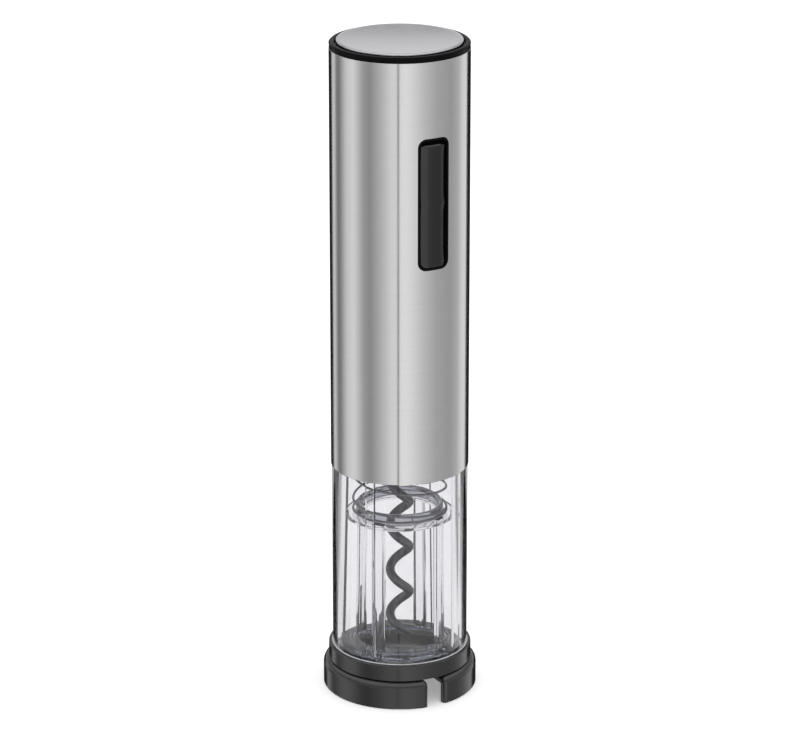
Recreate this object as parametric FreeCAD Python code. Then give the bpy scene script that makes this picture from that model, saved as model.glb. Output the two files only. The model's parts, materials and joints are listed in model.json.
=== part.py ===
"""Cordless electric wine opener standing in its foil-cutter base.

Frame: origin at the centre of the base's underside, +Z up along the axis, -Y towards the button.
Directions round the axis are in degrees from +X, counter-clockwise seen from above.
All sizes are in millimetres.
"""
import FreeCAD, Part
import math
import os

V = FreeCAD.Vector
Z_AXIS = V(0, 0, 1)
ORIGIN = V(0, 0, 0)

# ---- driving dimensions ----
BODY_R = 24.0            # outer radius of the steel sleeve
SLEEVE_WALL = 0.5
SLEEVE_LOW = 82.8        # lower edge of the sleeve
SLEEVE_TOP = 231.6
TOTAL_HEIGHT = 234.3     # to the top of the cap's disc
BASE_R = 27.0            # outer radius of the foil cutter's jaws
FIT_GAP = 0.3            # gap between bodies that move past each other
RUN_GAP = 0.05           # radial clearance of a pin in its hole

# foil cutter
JAW_HEIGHT = 9.7
JAW_WALL = 2.6
JAW_FLOOR = 7.0          # underside of the jaw's top web
JAW_HALF_SLOT = 3.0      # half the gap between the two jaws
JAW_TRAVEL = 2.0
PLATE_LOW = 10.0
PLATE_TOP = 12.5
COLLAR_R = 25.1
COLLAR_BORE_R = 24.0
COLLAR_TOP = 15.7
GUIDE_SCREW_X = 19.3
GUIDE_SCREW_Y = 5.0
WHEEL_R = 4.5
WHEEL_X = 15.2
WHEEL_Y = 11.9
WHEEL_Z = 3.7            # level of the cutting edge
PIN_R = 1.0
COVER_HALF_TURN = 56.0   # half the angle that the plate under the wheels spans
JAW_END_ROUND = 1.6      # round on the jaws' edges at the slots
LUG_X = 16.2             # inner face of the lug that each jaw spring pushes against
LUG_THICK = 1.0
LUG_HALF_WIDTH = 2.0
LUG_LOW = 3.4
JAW_SPRING_Z = 5.0

# clear tube and the cork guide inside it
TUBE_LOW = 12.6
TUBE_R = 23.7
TUBE_NECK_R = 23.4       # upper part, inside the sleeve
TUBE_BORE_R = 21.5
TUBE_TOP = 112.0
RIB_INNER_R = 20.3
RIB_WIDTH = 3.0
RIB_TOP = 106.9
RIB_TURN = 33.0          # direction of the first of the four ribs
GUIDE_LOW = 15.8
GUIDE_RING_TOP = 19.0
GUIDE_RING_R = 19.85
GUIDE_BORE_R = 13.8
FLANGE_LOW = 63.6
FLANGE_TOP = 65.6
FLANGE_R = 18.9
COLLAR_RING_R = 15.55
COLLAR_RING_TOP_R = 14.9
COLLAR_RING_BORE_R = 12.9
COLLAR_RING_TOP = 68.8
COIL_R = 16.2            # centre radius of the guide spring
COIL_WIRE_R = 0.4
COIL_TOP = 112.4
COIL_TURNS = 5.5
HELIX_ARCS_PER_TURN = 6

# worm
WORM_TIP = 18.0
WORM_R = 4.835
WORM_WIRE_R = 1.55
WORM_PITCH = 16.2
WORM_TAPER = 0.5         # turns over which the wire narrows to its point
WORM_ROOT_LOW = 105.0
WORM_ROOT_TOP = 109.0
WORM_ROOT_R = 5.1
HUB_LOW = 106.4
HUB_TOP = 112.9
HUB_R = 7.5
SHAFT_R = 3.0

# planetary gearbox, three stages alike in tooth numbers
GEAR_MODULE = 0.5
PRESSURE_ANGLE = 25.0
SUN_TEETH = 12
PLANET_TEETH = 24
RING_TEETH = SUN_TEETH + 2 * PLANET_TEETH
ADDENDUM = 0.9           # in modules
DEDENDUM = 1.2
BACKLASH = 0.12          # taken off each tooth's thickness at the pitch circle
PLANETS = 3
PLANET_ORBIT_R = GEAR_MODULE * (SUN_TEETH + PLANET_TEETH) / 2
PLANET_PIN_R = 1.5
CARRIER_R = 12.5
GEARBOX_R = 18.0
GEARBOX_LOW = 112.4
FRONT_WALL_LOW = 114.5
FRONT_WALL_TOP = 117.0
GEARBOX_TOP = 141.3
END_PLATE_TOP = 144.0
# stage number: (planet's lower face, planet's upper face)
STAGES = {3: (121.0, 126.6), 2: (129.6, 133.8), 1: (136.6, 140.6)}

# motor
MOTOR_R = 12.2
MOTOR_LOW = END_PLATE_TOP
MOTOR_TOP = 173.5
MOTOR_SHAFT_R = 1.0
MOTOR_BOSS_R = 4.0

# inner housing
HOUSING_R = 23.4
HOUSING_BORE_R = 21.4
HOUSING_TOP = 231.3
SCREW_POST_X = 17.5
SCREW_POST_LEVELS = (150.0, 166.0)

# screws, all alike
SCREW_HEAD_R = 1.9
SCREW_HEAD = 1.2
SCREW_SHANK_R = 1.0
SCREW_SHANK = 4.8

# button
BUTTON_Z = 182.3
WINDOW_HEIGHT = 46.0
WINDOW_WIDTH = 11.8
WINDOW_CORNER_R = 3.0
BEZEL_WALL = 0.8
BEZEL_FACE_R = 24.15
ROCKER_HEIGHT = 44.0
ROCKER_WIDTH = 9.6
ROCKER_FACE_R = 24.25
ROCKER_BACK_Y = -21.2
PIVOT_Y = -21.9
TRUNNION_R = 0.75
BOARD_BACK_Y = -16.0
BOARD_FACE_Y = -17.2
SWITCH_OFFSET = 14.0     # each switch's distance from the button's centre
SWITCH_FACE_Y = -19.0
PLUNGER_R = 1.5
PLUNGER_TIP_Y = -19.5

# batteries and cap
CRADLE_LOW = 176.3
CRADLE_FLOOR = 177.8
CRADLE_TOP = 230.6
CRADLE_R = 19.8
CELL_R = 7.1
CELL_OFFSET = 7.5        # each cell's centre from the two middle planes
CELL_LOW = 179.6
CELL_CAN = 49.5
CELL_NUB = 1.0
CAP_LOW = 231.7
CAP_R = 24.0
CAP_PLATE_TOP = 232.6
CAP_RIM_TOP = 233.6
DISC_R = 21.6
DISC_DISH = 0.35
SPIGOT_LOW = 226.5
SPIGOT_R = HOUSING_BORE_R - FIT_GAP
SPIGOT_WALL = 1.0


# ---- helpers ----
def cylinder(radius, low, high, x=0.0, y=0.0):
    return Part.makeCylinder(radius, high - low, V(x, y, low))


def cylinder_along(axis, radius, start, length):
    """A cylinder from the point start, running along axis."""
    return Part.makeCylinder(radius, length, start, axis)


def ring(outer, inner, low, high, x=0.0, y=0.0):
    """A tube along Z. The bore runs past both faces so that the cut is clean."""
    return cylinder(outer, low, high, x, y).cut(cylinder(inner, low - 1, high + 1, x, y))


def box(x_low, x_high, y_low, y_high, z_low, z_high):
    return Part.makeBox(x_high - x_low, y_high - y_low, z_high - z_low, V(x_low, y_low, z_low))


def turned(shape, degrees):
    """A copy turned about the main axis."""
    copy = shape.copy()
    copy.rotate(ORIGIN, Z_AXIS, degrees)
    return copy


def moved(shape, x=0.0, y=0.0, z=0.0):
    copy = shape.copy()
    copy.translate(V(x, y, z))
    return copy


def mirrored_x(shape):
    return shape.mirror(ORIGIN, V(1, 0, 0))


def mirrored_y(shape):
    return shape.mirror(ORIGIN, V(0, 1, 0))


def spun(points):
    """A solid turned from an outline of (radius, z) points. A point marked ("arc", through, end) bulges."""
    edges = []
    here = V(points[0][0], 0, points[0][1])
    first = here
    for point in points[1:]:
        if point[0] == "arc":
            through = V(point[1][0], 0, point[1][1])
            end = V(point[2][0], 0, point[2][1])
            edges.append(Part.Arc(here, through, end).toShape())
        else:
            end = V(point[0], 0, point[1])
            edges.append(Part.LineSegment(here, end).toShape())
        here = end
    if here.distanceToPoint(first) > 1e-6:
        edges.append(Part.LineSegment(here, first).toShape())
    face = Part.Face(Part.Wire(edges))
    return face.revolve(ORIGIN, Z_AXIS, 360)


def corner_arc(centre, radius, start_deg, end_deg):
    """The two points that an arc entry of spun needs, for a round corner."""
    middle = math.radians((start_deg + end_deg) / 2)
    last = math.radians(end_deg)
    through = (centre[0] + radius * math.cos(middle), centre[1] + radius * math.sin(middle))
    end = (centre[0] + radius * math.cos(last), centre[1] + radius * math.sin(last))
    return ("arc", through, end)


def window_block(width, height, corner, y_low, y_high, z_mid):
    """A block with rounded corners as seen from the front, from y_low to y_high."""
    block = box(-width / 2, width / 2, y_low, y_high, z_mid - height / 2, z_mid + height / 2)
    edges = [edge for edge in block.Edges if abs(edge.tangentAt(edge.FirstParameter).y) > 0.99]
    return block.makeFillet(corner, edges)


def helix_wire(radius, pitch, low, turns):
    """A right-handed helix that starts on the +X side at the level low, in equal arcs."""
    count = math.ceil(turns * HELIX_ARCS_PER_TURN)
    share = turns / count
    arcs = []
    for index in range(count):
        arc = Part.makeHelix(pitch, pitch * share, radius)
        arc = turned(arc, 360 * share * index)
        arcs.append(moved(arc, 0, 0, low + pitch * share * index))
    return Part.Wire(arcs)


def swept(wire, sections):
    """A solid swept along a wire through round sections given as (point, direction, radius)."""
    shell = Part.BRepOffsetAPI.MakePipeShell(wire)
    shell.setFrenetMode(True)
    for point, direction, radius in sections:
        shell.add(Part.Wire(Part.makeCircle(radius, point, direction)))
    shell.build()
    shell.makeSolid()
    return shell.shape()


def helix_point(radius, pitch, low, turn):
    """The point and the direction of a helix after a number of turns."""
    angle = 2 * math.pi * turn
    point = V(radius * math.cos(angle), radius * math.sin(angle), low + pitch * turn)
    direction = V(-radius * math.sin(angle), radius * math.cos(angle), pitch / (2 * math.pi))
    return point, direction


def coil(radius, wire_r, pitch, low, turns):
    start, along = helix_point(radius, pitch, low, 0)
    return swept(helix_wire(radius, pitch, low, turns), [(start, along, wire_r)])


# ---- gears ----
def involute_half_angle(teeth, radius, thickness):
    """Half the angle that a tooth fills at a radius, for its thickness at the pitch circle."""
    pitch_r = GEAR_MODULE * teeth / 2
    base_r = pitch_r * math.cos(math.radians(PRESSURE_ANGLE))
    pitch_angle = math.radians(PRESSURE_ANGLE)
    local_angle = math.acos(base_r / max(radius, base_r))
    grow = math.tan(pitch_angle) - pitch_angle
    shrink = math.tan(local_angle) - local_angle
    return thickness / (2 * pitch_r) + grow - shrink


def gear_outline(teeth, radii, thickness, first_turn):
    """A closed outline with teeth at regular turns, each flank drawn through the given radii."""
    points = []
    for tooth in range(teeth):
        centre = math.radians(first_turn) + 2 * math.pi * tooth / teeth
        rising = [(r, centre - involute_half_angle(teeth, r, thickness)) for r in radii]
        falling = [(r, centre + involute_half_angle(teeth, r, thickness)) for r in reversed(radii)]
        points += [V(r * math.cos(a), r * math.sin(a), 0) for r, a in rising + falling]
    return Part.makePolygon(points + points[:1])


def toothed_block(outline, low, high):
    block = Part.Face(outline).extrude(V(0, 0, high - low))
    block.translate(V(0, 0, low))
    return block


def outer_gear(teeth, low, high, bore_r, first_turn):
    pitch_r = GEAR_MODULE * teeth / 2
    radii = [pitch_r - DEDENDUM * GEAR_MODULE, pitch_r, pitch_r + ADDENDUM * GEAR_MODULE]
    thickness = math.pi * GEAR_MODULE / 2 - BACKLASH
    gear = toothed_block(gear_outline(teeth, radii, thickness, first_turn), low, high)
    if bore_r:
        gear = gear.cut(cylinder(bore_r, low - 1, high + 1))
    return gear


def ring_tooth_space(low, high):
    """The space inside the ring gear's teeth, with a tooth on the +X side."""
    pitch_r = GEAR_MODULE * RING_TEETH / 2
    radii = [pitch_r - ADDENDUM * GEAR_MODULE, pitch_r + DEDENDUM * GEAR_MODULE]
    thickness = math.pi * GEAR_MODULE / 2 + BACKLASH
    half_tooth = 180.0 / RING_TEETH
    return toothed_block(gear_outline(RING_TEETH, radii, thickness, half_tooth), low, high)


# ---- foil cutter ----
def cutter_cap():
    """The stand's top: a plate with a collar for the tube, and two spring lugs below."""
    lug = box(LUG_X, LUG_X + LUG_THICK, -LUG_HALF_WIDTH, LUG_HALF_WIDTH, LUG_LOW, PLATE_LOW)
    rim = 0.5
    cap = spun([
        (0, PLATE_LOW),
        (COLLAR_R, PLATE_LOW),
        (COLLAR_R, COLLAR_TOP - rim),
        corner_arc((COLLAR_R - rim, COLLAR_TOP - rim), rim, 0, 90),
        (COLLAR_BORE_R, COLLAR_TOP),
        (COLLAR_BORE_R, PLATE_TOP),
        (0, PLATE_TOP),
    ])
    cap = cap.fuse([lug, mirrored_x(lug)])
    for x, y in guide_screw_places():
        cap = cap.cut(cylinder(1.5, PLATE_LOW - 1, PLATE_TOP - 0.6, x, y))
    return cap.removeSplitter()


def guide_screw_places():
    return [(sx * GUIDE_SCREW_X, sy * GUIDE_SCREW_Y) for sx in (-1, 1) for sy in (-1, 1)]


def jaw_guide_screws():
    """Shoulder screws that hold the jaws up against the cap and let them slide."""
    screws = []
    for x, y in guide_screw_places():
        head = cylinder(2.3, 5.2, 6.7, x, y)
        slot = box(x - 0.3, x + 0.3, y - 1.6, y + 1.6, 4.9, 5.8)
        shoulder = cylinder(1.5, 6.7, PLATE_TOP - 0.6, x, y)
        screws.append(head.cut(slot).fuse(shoulder))
    return Part.makeCompound(screws)


def wheel_places():
    """The two cutter wheels of the +X jaw, front first."""
    return [(WHEEL_X, -WHEEL_Y), (WHEEL_X, WHEEL_Y)]


def jaw_right():
    """The jaw on the +X side: a half cup, open below, that moves inwards when squeezed."""
    round_r = 2.3
    foot = 0.4
    wall_r = BASE_R - JAW_WALL
    cup = spun([
        (0, JAW_FLOOR),
        (wall_r, JAW_FLOOR),
        (wall_r, 0),
        (BASE_R - foot, 0),
        (BASE_R, foot),
        (BASE_R, JAW_HEIGHT - round_r),
        corner_arc((BASE_R - round_r, JAW_HEIGHT - round_r), round_r, 0, 90),
        (0, JAW_HEIGHT),
    ])
    jaw = cup.common(box(JAW_HALF_SLOT, 40, -40, 40, -1, 20))
    end_edges = [edge for edge in jaw.Edges if is_jaw_end_edge(edge)]
    jaw = jaw.makeFillet(JAW_END_ROUND, end_edges)
    for x, y in wheel_places():
        jaw = jaw.fuse(cylinder(2.2, 4.5, JAW_FLOOR + 0.5, x, y))
        jaw = jaw.cut(cylinder(PIN_R, 4, 6.2, x, y))
    lug_room = box(LUG_X - FIT_GAP, LUG_X + LUG_THICK + JAW_TRAVEL + FIT_GAP,
                   -LUG_HALF_WIDTH - FIT_GAP, LUG_HALF_WIDTH + FIT_GAP, JAW_FLOOR - 1, JAW_HEIGHT + 1)
    jaw = jaw.cut(lug_room)
    for sign in (-1, 1):
        for x in (GUIDE_SCREW_X, GUIDE_SCREW_X + JAW_TRAVEL):
            jaw = jaw.cut(cylinder(1.8, JAW_FLOOR - 1, JAW_HEIGHT + 1, x, sign * GUIDE_SCREW_Y))
        y_mid = sign * GUIDE_SCREW_Y
        jaw = jaw.cut(box(GUIDE_SCREW_X, GUIDE_SCREW_X + JAW_TRAVEL, y_mid - 1.8, y_mid + 1.8,
                          JAW_FLOOR - 1, JAW_HEIGHT + 1))
    return jaw.removeSplitter()


def is_jaw_end_edge(edge):
    """The outer edges of the jaw's end faces: up the wall, round its shoulder and over the top."""
    middle = edge.valueAt((edge.FirstParameter + edge.LastParameter) / 2)
    at_slot = max(abs(vertex.X - JAW_HALF_SLOT) for vertex in edge.Vertexes) < 0.01
    above_foot = middle.z > 0.5
    outside = math.hypot(middle.x, middle.y) > BASE_R - JAW_WALL + 0.2 or middle.z > JAW_HEIGHT - 0.01
    return at_slot and above_foot and outside


def jaw_cover_right():
    """A curved plate under the wheels, with a collar round each wheel's pin."""
    cover = ring(BASE_R - JAW_WALL, 16.8, 0.6, 2.0)
    sector = box(0, 40, 0, 40, -1, 20)
    wedge = turned(sector, COVER_HALF_TURN - 90).fuse(turned(sector, -COVER_HALF_TURN))
    cover = cover.common(wedge)
    for x, y in wheel_places():
        cover = cover.fuse(cylinder(2.0, 1.5, 2.9, x, y))
        cover = cover.cut(cylinder(PIN_R, 0, 4, x, y))
    return cover.removeSplitter()


def wheel_pins_right():
    return Part.makeCompound([cylinder(PIN_R, 0.6, 6.2, x, y) for x, y in wheel_places()])


def cutter_wheel(x, y):
    """A steel disc ground to an edge, free to turn on its pin."""
    edge_half = 0.06
    wheel = spun([
        (PIN_R + RUN_GAP, WHEEL_Z - 0.7),
        (2.2, WHEEL_Z - 0.7),
        (2.4, WHEEL_Z - 0.45),
        (3.3, WHEEL_Z - 0.45),
        (WHEEL_R, WHEEL_Z - edge_half),
        (WHEEL_R, WHEEL_Z + edge_half),
        (3.3, WHEEL_Z + 0.45),
        (2.4, WHEEL_Z + 0.45),
        (2.2, WHEEL_Z + 0.7),
        (PIN_R + RUN_GAP, WHEEL_Z + 0.7),
    ])
    return moved(wheel, x, y)


def jaw_spring_right():
    """The coil spring between the cap's lug and the jaw's wall."""
    coil_r = 1.4
    wire_r = 0.25
    gap = 0.05
    low = LUG_X + LUG_THICK + wire_r + gap
    wall_x = math.sqrt((BASE_R - JAW_WALL) ** 2 - (coil_r + wire_r) ** 2)
    length = wall_x - low - wire_r - gap
    turns = 5
    spring = coil(coil_r, wire_r, length / turns, 0, turns)
    spring.rotate(ORIGIN, V(0, 1, 0), 90)
    spring.translate(V(low, 0, JAW_SPRING_Z))
    return spring


# ---- tube, guide and worm ----
def clear_tube():
    """The clear lower body, with four guide ribs and a lip that stops the cork guide."""
    tube = spun([
        (TUBE_BORE_R - 1.1, TUBE_LOW),
        (TUBE_R - 0.4, TUBE_LOW),
        (TUBE_R, TUBE_LOW + 0.4),
        (TUBE_R, SLEEVE_LOW - 0.1),
        (TUBE_NECK_R, SLEEVE_LOW - 0.1),
        (TUBE_NECK_R, TUBE_TOP),
        (TUBE_BORE_R, TUBE_TOP),
        (TUBE_BORE_R, TUBE_LOW + 2.8),
        (TUBE_BORE_R - 1.1, TUBE_LOW + 2.8),
    ])
    rib = box(RIB_INNER_R, TUBE_BORE_R + 0.5, -RIB_WIDTH / 2, RIB_WIDTH / 2, TUBE_LOW + 1, RIB_TOP)
    ribs = [turned(rib, RIB_TURN + 90 * k) for k in range(4)]
    tube = tube.fuse(ribs)
    for turn in tube_screw_turns():
        tube = tube.cut(turned(radial_screw_space(), turn))
    return tube.removeSplitter()


def tube_screw_turns():
    return [RIB_TURN + 45 + 90 * k for k in range(4)]


def radial_screw(face_r=TUBE_NECK_R, z=109.9):
    """A screw that points at the axis, its head just under the radius face_r."""
    head = cylinder_along(V(-1, 0, 0), SCREW_HEAD_R, V(face_r - 0.1, 0, z), SCREW_HEAD)
    shank_start = V(face_r - 0.1 - SCREW_HEAD, 0, z)
    shank = cylinder_along(V(-1, 0, 0), SCREW_SHANK_R, shank_start, SCREW_SHANK)
    return head.fuse(shank)


def radial_screw_space():
    return radial_screw().fuse(cylinder_along(V(1, 0, 0), SCREW_HEAD_R, V(23.0, 0, 109.9), 2.0))


def cork_guide_frame():
    """The sliding clear guide: a funnel that meets the bottle, four legs and a spring flange."""
    mouth_r = 18.3
    funnel = spun([
        (mouth_r, GUIDE_LOW),
        (GUIDE_RING_R - 0.5, GUIDE_LOW),
        (GUIDE_RING_R, GUIDE_LOW + 0.5),
        (GUIDE_RING_R, GUIDE_RING_TOP),
        (GUIDE_BORE_R, GUIDE_RING_TOP),
        (GUIDE_BORE_R, GUIDE_LOW + 2.4),
    ])
    flange = spun([
        (GUIDE_BORE_R, FLANGE_LOW),
        (FLANGE_R - 0.4, FLANGE_LOW),
        (FLANGE_R, FLANGE_LOW + 0.4),
        (FLANGE_R, FLANGE_TOP - 0.4),
        (FLANGE_R - 0.4, FLANGE_TOP),
        (GUIDE_BORE_R, FLANGE_TOP),
    ])
    leg = ring(16.2, 14.0, GUIDE_RING_TOP - 0.5, FLANGE_LOW + 0.5)
    leg = leg.common(box(0, 20, -2.25, 2.25, 0, 100))
    key = box(GUIDE_RING_R - 1, TUBE_BORE_R - 0.4, RIB_WIDTH / 2 + FIT_GAP, RIB_WIDTH / 2 + 1.8,
              GUIDE_LOW + 0.2, GUIDE_RING_TOP - 0.4)
    arms = []
    for k in range(4):
        turn = RIB_TURN + 90 * k
        arms += [turned(leg, turn), turned(key, turn), turned(mirrored_y(key), turn)]
    return funnel.fuse([flange] + arms).removeSplitter()


def cork_guide_collar():
    """The tinted ring on top of the guide that centres the spring."""
    return spun([
        (COLLAR_RING_BORE_R, FLANGE_TOP),
        (COLLAR_RING_R, FLANGE_TOP),
        (COLLAR_RING_TOP_R, COLLAR_RING_TOP - 0.6),
        (COLLAR_RING_TOP_R - 0.6, COLLAR_RING_TOP),
        (COLLAR_RING_BORE_R + 0.6, COLLAR_RING_TOP),
        (COLLAR_RING_BORE_R, COLLAR_RING_TOP - 0.6),
    ])


def guide_spring():
    """The left-handed spring that pushes the guide down, seated on its flange outside the collar."""
    gap = 0.05
    low = FLANGE_TOP + COIL_WIRE_R + gap
    high = COIL_TOP - COIL_WIRE_R - gap
    pitch = (high - low) / COIL_TURNS
    return mirrored_y(coil(COIL_R, COIL_WIRE_R, pitch, low, COIL_TURNS))


def worm():
    """A left-handed open helix that narrows to a point, with a round root for its hub."""
    wire_centre_r = WORM_R - WORM_WIRE_R
    low = WORM_TIP + 0.3
    turns = (WORM_ROOT_LOW + 2.0 - low) / WORM_PITCH
    point_start, point_along = helix_point(wire_centre_r, WORM_PITCH, low, 0)
    full_start, full_along = helix_point(wire_centre_r, WORM_PITCH, low, WORM_TAPER)
    tip = swept(helix_wire(wire_centre_r, WORM_PITCH, low, WORM_TAPER), [
        (point_start, point_along, 0.25),
        (full_start, full_along, WORM_WIRE_R),
    ])
    body = coil(wire_centre_r, WORM_WIRE_R, WORM_PITCH, 0, turns - WORM_TAPER)
    body.rotate(ORIGIN, Z_AXIS, 360 * WORM_TAPER)
    body.translate(V(0, 0, low + WORM_PITCH * WORM_TAPER))
    root = cylinder(WORM_ROOT_R, WORM_ROOT_LOW, WORM_ROOT_TOP)
    return mirrored_y(body.fuse([tip, root]))


def worm_hub():
    """The steel boss that joins the worm to the gearbox shaft."""
    hub = spun([
        (0, HUB_LOW),
        (HUB_R - 0.8, HUB_LOW),
        (HUB_R, HUB_LOW + 0.8),
        (HUB_R, HUB_TOP),
        (0, HUB_TOP),
    ])
    hub = hub.cut(cylinder(WORM_ROOT_R, HUB_LOW - 1, WORM_ROOT_TOP))
    hub = hub.cut(cylinder(SHAFT_R, 108.5, HUB_TOP + 1))
    return hub.cut(cylinder_along(V(0, -1, 0), 1.25, V(0, -SHAFT_R + 0.5, 111.0), 6))


def hub_grub_screw():
    screw = cylinder_along(V(0, -1, 0), 1.25, V(0, -SHAFT_R, 111.0), HUB_R - SHAFT_R - 0.3)
    socket = box(-0.6, 0.6, -HUB_R, -HUB_R + 1.3, 110.4, 111.6)
    screw = screw.cut(socket)
    return screw.cut(cylinder(SHAFT_R, 100, 120))


# ---- gearbox ----
def carrier(stage, shape_below):
    """A carrier plate with its three pins above and what it drives below."""
    low, high = STAGES[stage]
    plate = cylinder(CARRIER_R, low - 2.2, low - 0.3)
    pin = cylinder(PLANET_PIN_R, low - 0.5, high - 0.2, PLANET_ORBIT_R, 0)
    pins = [turned(pin, 360 / PLANETS * k) for k in range(PLANETS)]
    return plate.fuse(pins + [shape_below]).removeSplitter()


def output_carrier():
    """The last stage's carrier with the output shaft."""
    return carrier(3, cylinder(SHAFT_R, 109.0, STAGES[3][0] - 1))


def output_bush():
    flange = ring(6.0, SHAFT_R + RUN_GAP, FRONT_WALL_TOP, FRONT_WALL_TOP + 1.0)
    return flange.fuse(ring(5.0, SHAFT_R + RUN_GAP, 113.3, FRONT_WALL_TOP)).removeSplitter()


def sun_carrier(stage):
    """A carrier whose hub is the sun gear of the next stage down."""
    low, high = STAGES[stage + 1]
    sun = outer_gear(SUN_TEETH, low, STAGES[stage][0] - 1.0, 0, 0)
    return carrier(stage, sun)


def planet(stage, number):
    """A planet wheel with a gap towards the axis and another away from it."""
    low, high = STAGES[stage]
    half_tooth = 180.0 / PLANET_TEETH
    wheel = outer_gear(PLANET_TEETH, low, high, PLANET_PIN_R + RUN_GAP, half_tooth)
    return turned(moved(wheel, PLANET_ORBIT_R), 360 / PLANETS * number)


def motor_pinion():
    return outer_gear(SUN_TEETH, STAGES[1][0], GEARBOX_TOP - 0.3, MOTOR_SHAFT_R, 0)


def ring_gear_housing():
    """The gearbox case: spring seat, front wall and the ring gear that all stages share."""
    case = cylinder(GEARBOX_R, FRONT_WALL_LOW, GEARBOX_TOP)
    case = case.fuse(ring(GEARBOX_R, 14.5, GEARBOX_LOW, FRONT_WALL_LOW))
    case = case.cut(ring_tooth_space(FRONT_WALL_TOP, GEARBOX_TOP + 1))
    case = case.cut(cylinder(5.0, GEARBOX_LOW, FRONT_WALL_TOP + 1))
    return case.removeSplitter()


def gearbox_end_plate():
    plate = ring(GEARBOX_R, MOTOR_BOSS_R, GEARBOX_TOP, END_PLATE_TOP)
    for x in (-8.0, 8.0):
        plate = plate.cut(cylinder(SCREW_HEAD_R, GEARBOX_TOP - 1, GEARBOX_TOP + 1.3, x))
        plate = plate.cut(cylinder(SCREW_SHANK_R, GEARBOX_TOP, END_PLATE_TOP + 1, x))
    return plate


# ---- motor ----
def motor_can():
    wall = 0.9
    can = cylinder(MOTOR_R, MOTOR_LOW, 172.0).cut(cylinder(MOTOR_R - wall, MOTOR_LOW + wall, 180))
    boss = cylinder(MOTOR_BOSS_R, GEARBOX_TOP + 0.4, MOTOR_LOW + wall)
    can = can.fuse(boss).cut(cylinder(MOTOR_SHAFT_R + RUN_GAP, 130, 180))
    for x in (-8.0, 8.0):
        can = can.cut(cylinder(SCREW_SHANK_R, MOTOR_LOW - 1, MOTOR_LOW + 2, x))
    return can.removeSplitter()


def motor_end_cap():
    plug = cylinder(MOTOR_R - 0.9, 170.0, 172.0)
    lid = cylinder(MOTOR_R, 172.0, MOTOR_TOP)
    cap = plug.fuse(lid).cut(cylinder(MOTOR_SHAFT_R + RUN_GAP, 160, 180))
    for x in (-5.0, 5.0):
        cap = cap.fuse(box(x - 1.2, x + 1.2, -6.3, -5.7, MOTOR_TOP - 0.5, 175.5))
    return cap.removeSplitter()


def motor_magnets():
    """Two arc magnets stuck inside the can, front and rear."""
    shell = ring(MOTOR_R - 0.9, 8.3, 148.5, 166.0)
    gap = box(-40, 40, -4.5, 4.5, 140, 180)
    halves = shell.cut(gap)
    return Part.makeCompound(halves.Solids)


def motor_shaft():
    return cylinder(MOTOR_SHAFT_R, STAGES[1][0], MOTOR_TOP)


def motor_armature():
    """The three-pole core with its windings, and the commutator above it."""
    core = cylinder(7.7, 149.5, 165.0)
    slot = box(3.4, 9.0, -0.6, 0.6, 140, 170)
    for k in range(3):
        core = core.cut(turned(slot, 60 + 120 * k))
    core = core.fuse([cylinder(5.0, 147.6, 149.5), cylinder(5.0, 165.0, 166.2)])
    core = core.fuse(cylinder(2.6, 166.2, 169.6))
    return core.cut(cylinder(MOTOR_SHAFT_R, 140, 180)).removeSplitter()


def motor_leads():
    """Two short leads from the motor's tabs to the back of the circuit board."""
    lead_r = 0.55
    leads = []
    for x in (-5.0, 5.0):
        start = V(x, -6.3 - lead_r, 174.9)
        turn_in = V(x, -10.6, 174.9)
        bend_r = 4.0
        bend_mid = V(x, turn_in.y - bend_r * math.sin(math.pi / 4),
                     174.9 - bend_r * (1 - math.cos(math.pi / 4)))
        bend_end = V(x, turn_in.y - bend_r, 174.9 - bend_r)
        low = V(x, bend_end.y, 165.4)
        path = Part.Wire([
            Part.LineSegment(start, turn_in).toShape(),
            Part.Arc(turn_in, bend_mid, bend_end).toShape(),
            Part.LineSegment(bend_end, low).toShape(),
        ])
        leads.append(swept(path, [(start, V(0, -1, 0), lead_r)]))
    return Part.makeCompound(leads)


# ---- housing and sleeve ----
def steel_sleeve():
    """The thin brushed tube with the window for the button."""
    sleeve = ring(BODY_R, BODY_R - SLEEVE_WALL, SLEEVE_LOW, SLEEVE_TOP)
    window = window_block(WINDOW_WIDTH, WINDOW_HEIGHT, WINDOW_CORNER_R, -30, -15, BUTTON_Z)
    return sleeve.cut(window)


def housing_core():
    """The whole inner housing before it is split into its two halves."""
    shell = ring(HOUSING_R, HOUSING_BORE_R, COIL_TOP, HOUSING_TOP)
    parts = [
        ring(HOUSING_R - 2.1, 19.9, 107.6, COIL_TOP),
        ring(HOUSING_R, 19.9, COIL_TOP, COIL_TOP + 2.0),
        ring(HOUSING_R - 1, GEARBOX_R, 116.0, 118.0),
        ring(HOUSING_R - 1, GEARBOX_R, 137.0, 139.0),
        ring(HOUSING_R - 1, MOTOR_R, 156.0, 158.0),
        ring(HOUSING_R - 1, 16.8, CRADLE_LOW - 1.7, CRADLE_LOW),
    ]
    for level in SCREW_POST_LEVELS:
        for x in (-SCREW_POST_X, SCREW_POST_X):
            post = cylinder_along(V(0, 1, 0), 2.7, V(x, -13.0, level), 26.0)
            parts.append(post)
    core = shell.fuse(parts).common(cylinder(HOUSING_R, 100, 240))
    for screw in housing_screw_set():
        core = core.cut(screw)
    for level in SCREW_POST_LEVELS:
        for x in (-SCREW_POST_X, SCREW_POST_X):
            way_in = cylinder_along(V(0, 1, 0), SCREW_HEAD_R, V(x, -25.0, level), 25.0 - 3.2)
            core = core.cut(way_in)
    for turn in tube_screw_turns():
        core = core.cut(turned(radial_screw(), turn))
    return core


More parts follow.
